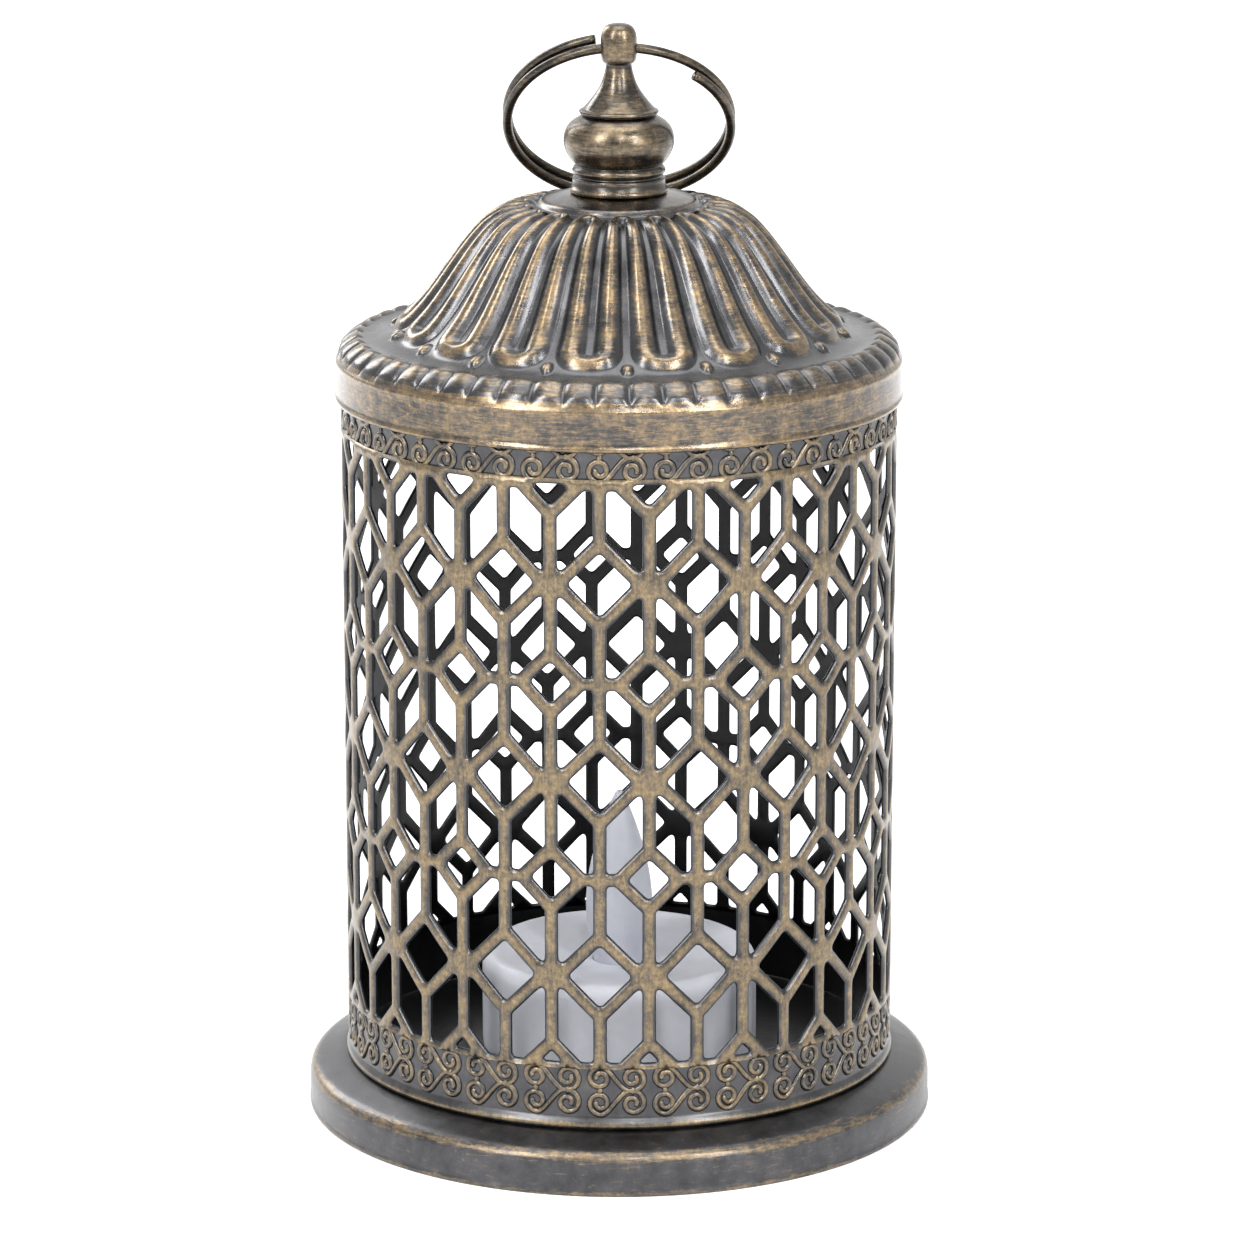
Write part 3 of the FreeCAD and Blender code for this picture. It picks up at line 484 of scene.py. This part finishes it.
class Sheet:
    """Points and faces of the lattice, and its plan: the flat drawing that is cut into triangles.

    Each point of the plan knows its two points of the sheet, on the front and on the back, and its owner: the
    number of a window's copy, or a value below 0 for the borders and the seam.
    """

    def __init__(self):
        self.verts, self.relief, self.faces = [], [], []
        self.plan, self.edges, self.ids, self.owners = [], [], [], []
        self.total = 0

    def add(self, points, relief):
        self.verts.append(points)
        self.relief.append(np.full(len(points), relief))
        self.total += len(points)
        return range(self.total - len(points), self.total)

    def draw(self, points, ids, owner, closed=False):
        start, count = len(self.plan), len(points)
        self.plan += points
        self.ids += ids
        self.owners += [owner] * count
        self.edges += [(start + i, start + i + 1) for i in range(count - 1)]
        if closed:
            self.edges.append((start + count - 1, start))

    def window(self, number, corners, radius):
        loop = rounded(eased(corners, radius), closed=True, step=1.3)
        out = normals_2d(loop)
        layers = []
        for away, rise, brass_and_painted_light in (*RIM, RIM_BACK):
            layers.append(self.add(wrap(loop + out * away, CAGE_R + rise), brass_and_painted_light))
        front, back = layers[-2], layers[-1]
        for a, b in [*zip(layers[:-2], layers[1:-1]), (back, layers[0])]:
            for i in range(len(loop)):
                j = (i + 1) % len(loop)
                self.faces.append((a[i], b[i], b[j], a[j]))
        rim = (loop + out * RIM[-1][0]).tolist()
        for turn in (-1, 0, 1):
            shift = turn * AROUND
            if turn == 0 or -4 * COLUMN < loop[0, 0] + shift < (LINES + 4) * COLUMN:
                owner = number + 1000 * (turn + 1)
                self.draw([(x + shift, y) for x, y in rim], list(zip(front, back)), owner, closed=True)

    def flat(self, points):
        """Pairs of points on the front and the back of the sheet."""
        points = np.array(points)
        front = self.add(wrap(points, CAGE_R + CROWN), 1.0)
        # the back of the sheet gets relief -1: painted shade inside the cage
        back = self.add(wrap(points, CAGE_R + RIM_BACK[1]), -1.0)
        return list(zip(front, back))


def lattice():
    sheet = Sheet()
    for number, (corners, radius) in enumerate(openings()):
        sheet.window(number, corners, radius)
    low, high = BAND_LOW - BORDER, BAND_HIGH + BORDER
    seam = seam_line(low, high)
    seam_ids = sheet.flat(seam)
    borders = []
    for height, end in ((low, seam_ids[0]), (high, seam_ids[-1])):
        count = 216
        points = [(AROUND * k / count, height) for k in range(1, count)]
        ids = sheet.flat(points)
        sheet.draw(points, ids, -1)
        borders.append([end, *ids, end])
    for shift in (0.0, AROUND):
        sheet.draw([(x + shift, y) for x, y in seam], seam_ids, -2)
    plan = delaunay_2d_cdt([Vector(p) for p in sheet.plan], sheet.edges, [], 0, 1e-6, True)
    points, triangles, origins = plan[0], plan[2], plan[3]
    seam_x, seam_y = np.array(seam).T
    for triangle in triangles:
        if any(not origins[v] for v in triangle):
            continue
        ids = [origins[v][0] for v in triangle]
        owners = {sheet.owners[v] for v in ids}
        if len(owners) == 1 and min(owners) >= 0:
            continue
        x = sum(points[v][0] for v in triangle) / 3
        y = sum(points[v][1] for v in triangle) / 3
        edge = np.interp(y, seam_y, seam_x)
        if edge < x < edge + AROUND and low < y < high:
            a, b, c = (sheet.ids[v] for v in ids)
            sheet.faces += [(a[0], b[0], c[0]), (c[1], b[1], a[1])]
    for border, flip in zip(borders, (False, True)):
        for p, q in zip(border, border[1:]):
            quad = (p[0], p[1], q[1], q[0])
            sheet.faces.append(quad[::-1] if flip else quad)
    points, relief = np.concatenate(sheet.verts), np.concatenate(sheet.relief)
    piece = mesh_object("cage_lattice", points, sheet.faces, relief)
    dress(piece, CAGE_METAL, "lantern", "pierced_tin", "cage")


# cage: bands of scrolls

# section of a stroke: (aside, up)
STROKE = ((-0.44, 0.0), (-0.35, 0.18), (-0.17, 0.30), (0.0, 0.34), (0.17, 0.30), (0.35, 0.18), (0.44, 0.0))
# how many S in a row, how far apart the rows are, and the turns and the inner and outer radius of the curls
SCROLLS, SCROLL_ROW = 27, 3.5
SMALL_TURNS, LARGE_TURNS = 1.40, 1.50
SMALL_RADII, LARGE_RADII = (0.34, 1.62), (0.38, 1.86)
FOOT_SCROLLS, TOP_SCROLLS = 11.1, 96.9
BAND_FACE = CAGE_R - 0.28


def scroll_line():
    """Points (along, up) of one S of the upper row, from inside its small curl to inside its large one."""
    t = np.linspace(0, 1, 31)
    angle = math.radians(80) + TAU * SMALL_TURNS * (1 - t)
    radius = SMALL_RADII[0] + (SMALL_RADII[1] - SMALL_RADII[0]) * t ** 0.9
    small = np.stack([radius * np.cos(angle), radius * np.sin(angle)], 1)
    t = np.linspace(0, 1, 37)
    angle = math.radians(-115) + TAU * LARGE_TURNS * t
    radius = LARGE_RADII[1] - (LARGE_RADII[1] - LARGE_RADII[0]) * t ** 0.9
    large = np.stack([AROUND / SCROLLS / 2 + radius * np.cos(angle), radius * np.sin(angle)], 1)
    t = np.arange(1, 14) / 14
    weights = np.stack([(1 - t) ** 3, 3 * t * (1 - t) ** 2, 3 * t * t * (1 - t), t ** 3], 1)
    link = weights @ np.array([small[-1], small[-1] + (1.0, -0.25), large[0] + (-1.3, 0.75), large[0]])
    return np.concatenate([small, link, large])


def scroll_band(name, foot):
    """Two mirrored rows of scrolls and the short joints between them; foot is the lower row's middle."""
    line = scroll_line()
    paths = []
    for up, mirror in ((0, -1), (SCROLL_ROW, 1)):
        paths += [line * (1, mirror) + (number * AROUND / SCROLLS, foot + up) for number in range(SCROLLS)]
    joint = np.stack([np.zeros(7), np.linspace(1.1, 2.4, 7)], 1)
    paths += [joint + (number * AROUND / SCROLLS / 2, foot) for number in range(2 * SCROLLS)]
    verts, faces, relief = [], [], []
    total = 0
    for path in paths:
        count = len(path)
        across = normals_2d(path, closed=False)
        steps = np.arange(count)
        ends = np.minimum(1, np.minimum(steps, steps[::-1]) / 2.5 + 0.15)
        for aside, up in STROKE:
            verts.append(wrap(path + across * (aside * ends)[:, None], BAND_FACE - 0.03 + up * ends))
            relief.append(np.full(count, 0.1 + 2.4 * up))
        rows = [total + k * count for k in range(len(STROKE))]
        for a, b in zip(rows, rows[1:] + rows[:1]):
            faces += [(a + i, a + i + 1, b + i + 1, b + i) for i in range(count - 1)]
        faces += [tuple(rows), tuple(row + count - 1 for row in reversed(rows))]
        total += len(STROKE) * count
    piece = mesh_object(name, np.concatenate(verts), faces, np.concatenate(relief))
    dress(piece, CAGE_METAL, "lantern", "pierced_tin")


def band_sheets():
    """The plain turned parts of the sheet under and over the lattice, which carry the scrolls."""
    inside = CAGE_R - 0.65
    foot_line = [
        (inside, 7.46, 0.1),
        (37.6, 7.46, 0.3),
        (37.95, 7.95, 0.35),
        (37.75, 8.55, 0.4),
        (BAND_FACE, 9.1, 0.4),
        (BAND_FACE, BAND_LOW - 0.3, 0.1),
        (inside, BAND_LOW - 0.3, 0.1),
    ]
    top_line = [
        (inside, BAND_HIGH + 0.3, 0.1),
        (BAND_FACE, BAND_HIGH + 0.3, 0.1),
        (BAND_FACE, CAGE_TOP - 0.3, 0.2),
        (37.2, CAGE_TOP, 0.1),
        (inside, CAGE_TOP, 0.1),
    ]
    for name, corners in (("foot_band_sheet", foot_line), ("top_band_sheet", top_line)):
        line = rounded(corners, closed=True, step=1.0)
        r, z = line[:, 0:1], line[:, 1:2]
        # painted highlight: a band of brass round the foot's rounded lip stands in for its highlight line;
        # faces inside the cage get relief -1, painted shade
        lip = bump(z, 8.1, 0.4) * (r > 37.45)
        relief = np.clip(lip + 0.12, 0, 1) - (r < 37.1)
        dress(lathe(name, line, 216, relief), CAGE_METAL, "lantern", "pierced_tin")


# section of a tab: (from the axis, height, rounding); its width and the easing of its edges
TAB_LINE = [
    (36.9, 7.42, 0.1),
    (37.4, 7.42, 0.1),
    (37.4, 6.1, 0.5),
    (33.5, 6.1, 0.2),
    (33.5, 6.7, 0.2),
    (36.9, 6.7, 0.15),
]
TAB_WIDTH, TAB_EDGE, TAB_TURN = 5.0, 0.12, math.radians(5)


def cage_tabs():
    """Four strips of the sheet that go through the foot plate and are bent in under it."""
    outline = rounded(TAB_LINE, closed=True, step=1.0)
    out = normals_2d(outline)
    count, half, edge = len(outline), TAB_WIDTH / 2, TAB_EDGE
    slices = ((-half, -edge), (edge - half, 0.0), (half - edge, 0.0), (half, -edge))
    verts, faces = [], []
    for number in range(4):
        angle = CAGE_TURN + TAB_TURN + number * TAU / 4
        ahead = np.array((math.cos(angle), math.sin(angle)))
        aside = np.array((-math.sin(angle), math.cos(angle)))
        first = len(verts)
        for side, inset in slices:
            ring = outline + out * inset
            verts += [(*(r * ahead + side * aside), z) for r, z in ring]
        for k in range(3):
            a, b = first + k * count, first + (k + 1) * count
            faces += [(a + i, a + (i + 1) % count, b + (i + 1) % count, b + i) for i in range(count)]
        faces.append(tuple(range(first, first + count))[::-1])
        faces.append(tuple(range(first + 3 * count, first + 4 * count)))
    piece = mesh_object("cage_fixing_tabs", verts, faces, np.full(len(verts), 0.1))
    dress(piece, CAGE_METAL, "lantern", "pierced_tin")


# lid

# lines of the lid over its foot, from the hem to the middle and back: (radius, height, rounding)
LID_LINE = [
    (38.25, 0.0, 0.15),
    (38.45, 0.35, 0.2),
    (38.20, 0.85, 0.3),
    (38.15, 4.6, 0.6),
    (38.35, 5.2, 0.3),
    (37.9, 6.0, 0.5),
    (36.4, 7.55, 0.9),
    (35.0, 8.3, 0.5),
    (34.3, 8.3, 0.4),
    (33.2, 8.15, 0.7),
    (31.4, 8.55, 0.8),
    (29.8, 9.4, 1.0),
    (28.1, 10.6, 1.2),
    (25.9, 12.8, 1.6),
    (23.9, 15.4, 1.6),
    (22.2, 17.8, 1.6),
    (19.7, 21.2, 1.8),
    (17.5, 23.6, 1.4),
    (14.8, 25.1, 1.2),
    (12.2, 25.75, 0.8),
    (11.0, 25.95, 0.3),
    (10.6, 26.6, 0.3),
    (10.1, 26.85, 0.3),
    (6.5, 27.55, 0.3),
    (1.6, 27.6, 0),
]
LID_INSIDE = [
    (1.6, 26.85, 0),
    (6.5, 26.8, 0.5),
    (14.2, 24.3, 1.0),
    (17.0, 22.8, 1.0),
    (21.3, 17.2, 1.6),
    (25.2, 12.0, 1.6),
    (29.3, 8.7, 1.2),
    (33.0, 7.5, 1.0),
    (35.6, 7.0, 0.8),
    (36.6, 5.25, 0.3),
    (37.8, 5.05, 0.1),
    (37.8, 0.1, 0.1),
]


# looped ribs with a pip between each two of them, and teeth; turns are in degrees, the rest in millimetres
FLUTES, TEETH = 18, 54
FLUTE_TURN, TOOTH_TURN, LOOP_HALF = 360 / FLUTES, 360 / TEETH, math.radians(5)
RIB_HEIGHT, PIP_HEIGHT, TOOTH_HEIGHT = 0.95, 0.62, 0.55
# where on the lid's line these begin and end: (radius, height)
LOOP_FOOT, LOOP_HEAD, PIP_MIDDLE = (27.6, 11.1), (13.2, 25.5), (30.2, 9.2)
TEETH_FOOT, TEETH_HEAD, DISC_EDGE = (38.1, 5.7), (34.4, 8.3), (11.0, 26.2)
LOOP_FOOT_R, LOOP_HEAD_R = 28.0, 13.2


def lid_relief(line, angles):
    """Height of ribs, pips and teeth over the lid's line, and how much of them is rubbed to brass, with a
    painted highlight on the teeth's upper part and painted shade inside the lid.
    """
    top = int(np.argmax((line[:, 0] < 1.7) & (line[:, 1] > 27.0)))
    along = np.concatenate([[0], np.cumsum(np.linalg.norm(np.diff(line, axis=0), axis=1))])
    radius, level = line[:, 0:1], line[:, 1:2]

    def place(point):
        return along[int(np.argmin(((line[: top + 1] - point) ** 2).sum(1)))]

    outer = (np.arange(len(line)) <= top)[:, None]
    s = along[:, None]
    turn = np.degrees(angles - LID_TURN)[None, :]
    phi = (turn + FLUTE_TURN / 2) % FLUTE_TURN - FLUTE_TURN / 2
    x = np.radians(phi) * radius
    half = LOOP_HALF * radius
    bend, arch = place(LOOP_FOOT), place(LOOP_HEAD)
    low = np.abs(np.hypot(x, np.maximum(bend - s, 0)) - LOOP_HALF * LOOP_FOOT_R)
    beside = np.radians(FLUTE_TURN / 2 - np.abs(phi)) * radius
    high = np.abs(np.hypot(beside, np.maximum(s - arch, 0)) - LOOP_HALF * LOOP_HEAD_R)
    away = np.where(s < bend, low, np.where(s > arch, high, np.abs(np.abs(x) - half)))
    width = np.clip(0.80 * half, 0.75, 1.95)
    rib = np.clip(1 - (away / width) ** 2, 0, 1) ** 1.15
    rib = np.where((s > bend - 4.6) & (s < arch + 2.2), rib, 0)
    tall = smooth_step(s, bend - 4.2, bend - 1.5) * (1 - 0.35 * smooth_step(s, arch - 2.5, arch + 1.5))
    pip = np.sqrt(np.clip(1 - (beside / 0.80) ** 2 - ((s - place(PIP_MIDDLE)) / 1.15) ** 2, 0, 1))
    tooth_phi = (turn + TOOTH_TURN / 2) % TOOTH_TURN - TOOTH_TURN / 2
    s0, s1 = place(TEETH_FOOT), place(TEETH_HEAD)
    run = smooth_step(s, s0, s0 + 1.6) * (1 - smooth_step(s, s1 - 0.9, s1 + 0.15))
    tooth = np.sqrt(np.clip(1 - (tooth_phi / 3.1) ** 2, 0, 1)) * run
    height = (RIB_HEIGHT * tall * rib + PIP_HEIGHT * pip + TOOTH_HEIGHT * tooth) * outer
    brass_and_painted_light = 0.92 * rib * smooth_step(rib, 0.25, 0.85) + 0.9 * pip
    # the teeth get more brass toward their upper end, a painted highlight; their base share of 0.5 is rubbed
    # wear
    brass_and_painted_light += tooth * (0.5 + 0.4 * smooth_step(s, s0 + 1.5, s1))
    skirt = 0.7 * (s < s0 + 0.9) + 0.3 * bump(level, 5.3, 0.5) + 0.25 * bump(level, 0.4, 0.3)
    disc = 0.5 * (s > place(DISC_EDGE))
    # the inside of the lid gets relief -1, painted shade
    return height, np.clip(brass_and_painted_light + skirt * (radius > 37.5) + disc, 0, 1.2) * outer - ~outer


def lid():
    line = np.concatenate([rounded(LID_LINE, step=0.32), rounded(LID_INSIDE, step=1.5)])
    count = FLUTES * TEETH
    height, brass_and_painted_light = lid_relief(line, angles_of(count))
    piece = lathe("lid_pressing", line, count, brass_and_painted_light, height)
    lift_by(piece, LID_FOOT)
    dress(piece, LID_METAL, "lid", "lid_tin", "lid")


# knob and ring


# section of the knob over the lid's top: (radius, height, rounding)
KNOB_LINE = [
    (0.02, 0.0, 0),
    (6.45, 0.0, 0.3),
    (6.7, 0.5, 0.4),
    (6.35, 1.0, 0.4),
    (6.2, 1.6, 0.4),
    (6.25, 2.1, 0.3),
    (5.9, 2.25, 0.2),
    (5.9, 2.5, 0.2),
    (6.2, 2.7, 0.3),
    (6.3, 3.2, 0.4),
    (6.0, 3.65, 0.3),
    (5.85, 3.8, 0.1),
    (6.6, 4.6, 0.8),
    (7.42, 6.2, 1.2),
    (7.46, 7.9, 1.2),
    (6.7, 9.4, 1.0),
    (5.1, 10.35, 0.6),
    (4.85, 10.55, 0.1),
    (5.35, 10.7, 0.2),
    (5.35, 11.1, 0.2),
    (4.85, 11.3, 0.3),
    (3.7, 12.6, 1.0),
    (2.55, 14.2, 1.0),
    (1.95, 15.9, 0.8),
    (1.75, 16.9, 0.4),
    (1.78, 17.3, 0.2),
    (2.2, 17.55, 0.3),
    (2.42, 18.2, 0.5),
    (2.42, 21.3, 0.9),
    (1.75, 22.45, 0.6),
    (0.6, 22.7, 0.4),
    (0.02, 22.7, 0),
]
# the dark grooves of the knob: (height, width)
KNOB_GROOVES = ((2.35, 0.3), (3.75, 0.25), (10.5, 0.3), (1.4, 0.4), (17.1, 0.4))
HOLE_RADIUS, HOLE_REACH = 1.0, 5.0


def knob():
    line = rounded(KNOB_LINE, closed=True, step=0.3)
    z = line[:, 1:2]
    low = sum(bump(z, middle, width) for middle, width in KNOB_GROOVES)
    relief = np.clip(0.85 - 0.8 * low - 0.25 * bump(z, 13.5, 1.6), 0, 1)
    piece = lathe("knob_turning", line, 128, relief)
    lift_by(piece, LID_TOP)
    axis = np.array([(x, 0.0, PIVOT) for x in np.linspace(-HOLE_REACH, HOLE_REACH, 11)])
    cutter = tube("hole_cutter", axis, HOLE_RADIUS, 32)
    hole = piece.modifiers.new("hole", "BOOLEAN")
    hole.operation, hole.object, hole.solver = "DIFFERENCE", cutter, "EXACT"
    bpy.context.view_layer.update()
    drilled = bpy.data.meshes.new_from_object(piece.evaluated_get(bpy.context.evaluated_depsgraph_get()))
    piece.modifiers.clear()
    piece.data = drilled
    bpy.data.objects.remove(cutter)
    dress(piece, KNOB_METAL, "lid", "knob_brass", "finial")


def tube(name, path, radius, sides):
    """A round tube along a path of points that never runs along y, closed at its ends."""
    run = np.gradient(path, axis=0)
    run /= np.linalg.norm(run, axis=1, keepdims=True)
    side = np.cross(run, (0.0, 1.0, 0.0))
    side /= np.linalg.norm(side, axis=1, keepdims=True)
    up = np.cross(side, run)
    angles = angles_of(sides)[None, :, None]
    rings = path[:, None, :] + radius * (np.cos(angles) * side[:, None, :] + np.sin(angles) * up[:, None, :])
    verts = rings.reshape(-1, 3)
    faces = []
    for i in range(len(path) - 1):
        for j in range(sides):
            k = (j + 1) % sides
            faces.append((i * sides + j, i * sides + k, (i + 1) * sides + k, (i + 1) * sides + j))
    faces.append(tuple(range(sides))[::-1])
    faces.append(tuple(range(len(verts) - sides, len(verts))))
    return mesh_object(name, verts, faces, np.full(len(verts), 0.8))


# over the wire, the wire, and its way along the ring's axis in a turn; both ends and the lean in degrees
RING_SIZE, WIRE, RING_PITCH = 31.6, 1.33, 1.78
RING_FROM, RING_TO, RING_LEAN = -318, 349, 48.2


def carry_ring():
    """Nearly two turns of wire that hang in the knob's hole and lean back on the dome."""
    radius = (RING_SIZE - WIRE) / 2
    turns = np.radians(np.arange(RING_FROM, RING_TO, 3))
    x, z = radius * np.sin(turns), radius * np.cos(turns) - radius
    y = RING_PITCH * turns / TAU
    c, s = math.cos(math.radians(90 - RING_LEAN)), math.sin(math.radians(90 - RING_LEAN))
    path = np.stack([x, y * c - z * s, y * s + z * c + PIVOT], 1)
    piece = tube("ring_wire_turns", path, WIRE / 2, 16)
    dress(piece, WIRE_METAL, "ring", "ring_wire", "carry_ring")


# tealight


# sections of the case and the flame over the tealight's foot: (radius, height, rounding)
CASE_LINE = [
    (17.8, 0.0, 0.1),
    (18.9, 0.0, 0.3),
    (19.0, 1.0, 0.5),
    (19.0, 12.4, 1.1),
    (18.2, 13.65, 0.7),
    (17.3, 13.8, 0.4),
    (16.6, 13.5, 0.5),
    (12.5, 12.85, 2.0),
    (6.5, 12.3, 2.0),
    (3.72, 12.2, 0.1),
    (3.72, 11.0, 0.1),
    (6.0, 11.0, 0.5),
    (16.2, 12.36, 0.5),
    (17.8, 11.6, 0.4),
]
FLAME_LINE = [
    (2.6, 10.0, 0.1),
    (5.0, 10.0, 0.1),
    (5.0, 10.9, 0.1),
    (3.6, 10.98, 0.1),
    (3.6, 12.6, 0.4),
    (3.9, 14.6, 1.0),
    (4.5, 17.5, 1.4),
    (4.65, 20.2, 1.4),
    (4.4, 23.6, 1.6),
    (3.65, 27.4, 1.8),
    (2.5, 31.2, 1.8),
    (1.3, 34.4, 1.4),
    (0.45, 36.2, 0.5),
    (0.02, 36.4, 0),
    (0.02, 35.2, 0),
    (0.7, 34.2, 0.8),
    (1.9, 30.9, 1.6),
    (3.05, 27.2, 1.6),
    (3.8, 23.4, 1.6),
    (4.05, 20.2, 1.4),
    (3.9, 17.6, 1.4),
    (3.3, 14.8, 1.0),
    (2.7, 12.4, 0.6),
]


def tealight():
    for name, corners, step, count, material, slot, node in (
        ("tealight_case", CASE_LINE, 1.2, 144, CASE, "case_plastic", "candle_housing"),
        ("flame_shell", FLAME_LINE, 0.6, 72, FLAME, "flame_plastic", "flame"),
    ):
        piece = lathe(name, rounded(corners, closed=True, step=step), count, 0.0)
        lift_by(piece, CANDLE_FOOT)
        dress(piece, material, "candle", slot, node)


SOLIDS = {
    "finial_washer": STEEL,
    "finial_screw": STEEL,
    "candle_floor": CASE,
    "battery_door": CASE,
    "door_screw": STEEL,
    "coin_cell": STEEL,
    "positive_contact": STRIP,
    "negative_contact": STRIP,
    "switch_contact": STRIP,
    "led": LAMP,
    "led_anode_leg": STRIP,
    "led_cathode_leg": STRIP,
    "switch_slider": BLACK,
}


def carried_over():
    """Materials for the solids that show as they are."""
    for node, material in SOLIDS.items():
        for place in frame["nodes"][node].material_slots:
            place.material = material


# floor, light and camera


def light_share(nodes, links):
    """1 for rays that show the background, seen, mirrored or through glass, and 0 for those that light."""
    path = nodes.new("ShaderNodeLightPath")
    first = add(nodes, "ShaderNodeMath", operation="MAXIMUM")
    links.new(path.outputs["Is Camera Ray"], first.inputs[0])
    links.new(path.outputs["Is Glossy Ray"], first.inputs[1])
    second = add(nodes, "ShaderNodeMath", operation="MAXIMUM")
    links.new(first.outputs[0], second.inputs[0])
    links.new(path.outputs["Is Transmission Ray"], second.inputs[1])
    return second.outputs[0]


# in metres; an area lamp is (name, place, width, height, power)
FLOOR_HALF = 1.6
MIDDLE = (0, 0, 0.075)
CAMERA_PLACE, CAMERA_LENS, CAMERA_DOWN = (0.00149, -0.719, 0.2468), 154.9, math.radians(14.08)
LAMPS = (
    ("window_left", (-0.50, -0.55, 0.60), 0.12, 0.7, 6.0),
    ("window_right", (0.46, -0.60, 0.50), 0.08, 0.6, 4.5),
    ("front_strip", (0.10, -0.85, 0.75), 0.10, 0.5, 3.0),
    ("overhead", (0.0, 0.05, 0.95), 0.7, 0.7, 5.0),
    ("back_left", (-0.5, 0.55, 0.5), 0.3, 0.5, 3.0),
)


def stage():
    world = bpy.data.worlds.new("studio")
    bpy.context.scene.world = world
    world.use_nodes = True
    nodes, links = world.node_tree.nodes, world.node_tree.links
    sky = nodes["Background"]
    sky.inputs["Color"].default_value = (1, 1, 1, 1)
    level = add(nodes, "ShaderNodeMapRange")
    level.inputs["To Min"].default_value, level.inputs["To Max"].default_value = 0.42, 1.0
    links.new(light_share(nodes, links), level.inputs["Value"])
    links.new(level.outputs[0], sky.inputs["Strength"])

    mesh = bpy.data.meshes.new("floor")
    corners = ((-1, -1), (1, -1), (1, 1), (-1, 1))
    mesh.from_pydata([(x * FLOOR_HALF, y * FLOOR_HALF, 0) for x, y in corners], [], [(0, 1, 2, 3)])
    floor = bpy.data.objects.new("floor", mesh)
    bpy.context.scene.collection.objects.link(floor)
    material, nodes, links, surface = shader("floor_paper", 0.9)
    surface.inputs["Base Color"].default_value = (0.86, 0.86, 0.87, 1)
    surface.inputs["Emission Color"].default_value = (1, 1, 1, 1)
    where = add(nodes, "ShaderNodeTexCoord")
    far = add(nodes, "ShaderNodeVectorMath", operation="LENGTH")
    links.new(where.outputs["Object"], far.inputs[0])
    glow = add(nodes, "ShaderNodeMapRange")
    glow.inputs["From Min"].default_value, glow.inputs["From Max"].default_value = 0.12, 0.8
    glow.inputs["To Min"].default_value, glow.inputs["To Max"].default_value = 0.32, 0.9
    links.new(far.outputs["Value"], glow.inputs["Value"])
    level = add(nodes, "ShaderNodeMath", operation="MULTIPLY")
    links.new(glow.outputs[0], level.inputs[1])
    links.new(light_share(nodes, links), level.inputs[0])
    links.new(level.outputs[0], surface.inputs["Emission Strength"])
    mesh.materials.append(material)

    for name, place, width, height, power in LAMPS:
        lamp = bpy.data.lights.new(name, "AREA")
        lamp.shape, lamp.size, lamp.size_y, lamp.energy = "RECTANGLE", width, height, power
        holder = bpy.data.objects.new(name, lamp)
        holder.location = place
        aim = Vector(MIDDLE) - Vector(place)
        holder.rotation_euler = aim.to_track_quat("-Z", "Y").to_euler()
        bpy.context.scene.collection.objects.link(holder)

    lens = bpy.data.cameras.new("camera")
    lens.lens, lens.sensor_width, lens.clip_start, lens.clip_end = CAMERA_LENS, 36.0, 0.05, 20.0
    eye = bpy.data.objects.new("camera", lens)
    eye.location = CAMERA_PLACE
    eye.rotation_euler = (math.radians(90) - CAMERA_DOWN, 0, 0)
    bpy.context.scene.collection.objects.link(eye)
    bpy.context.scene.camera = eye
    bpy.context.scene.view_settings.view_transform = "Standard"


foot_plate()
lattice()
band_sheets()
scroll_band("foot_band_scrolls", FOOT_SCROLLS)
scroll_band("top_band_scrolls", TOP_SCROLLS)
cage_tabs()
lid()
knob()
carry_ring()
tealight()
carried_over()
stage()
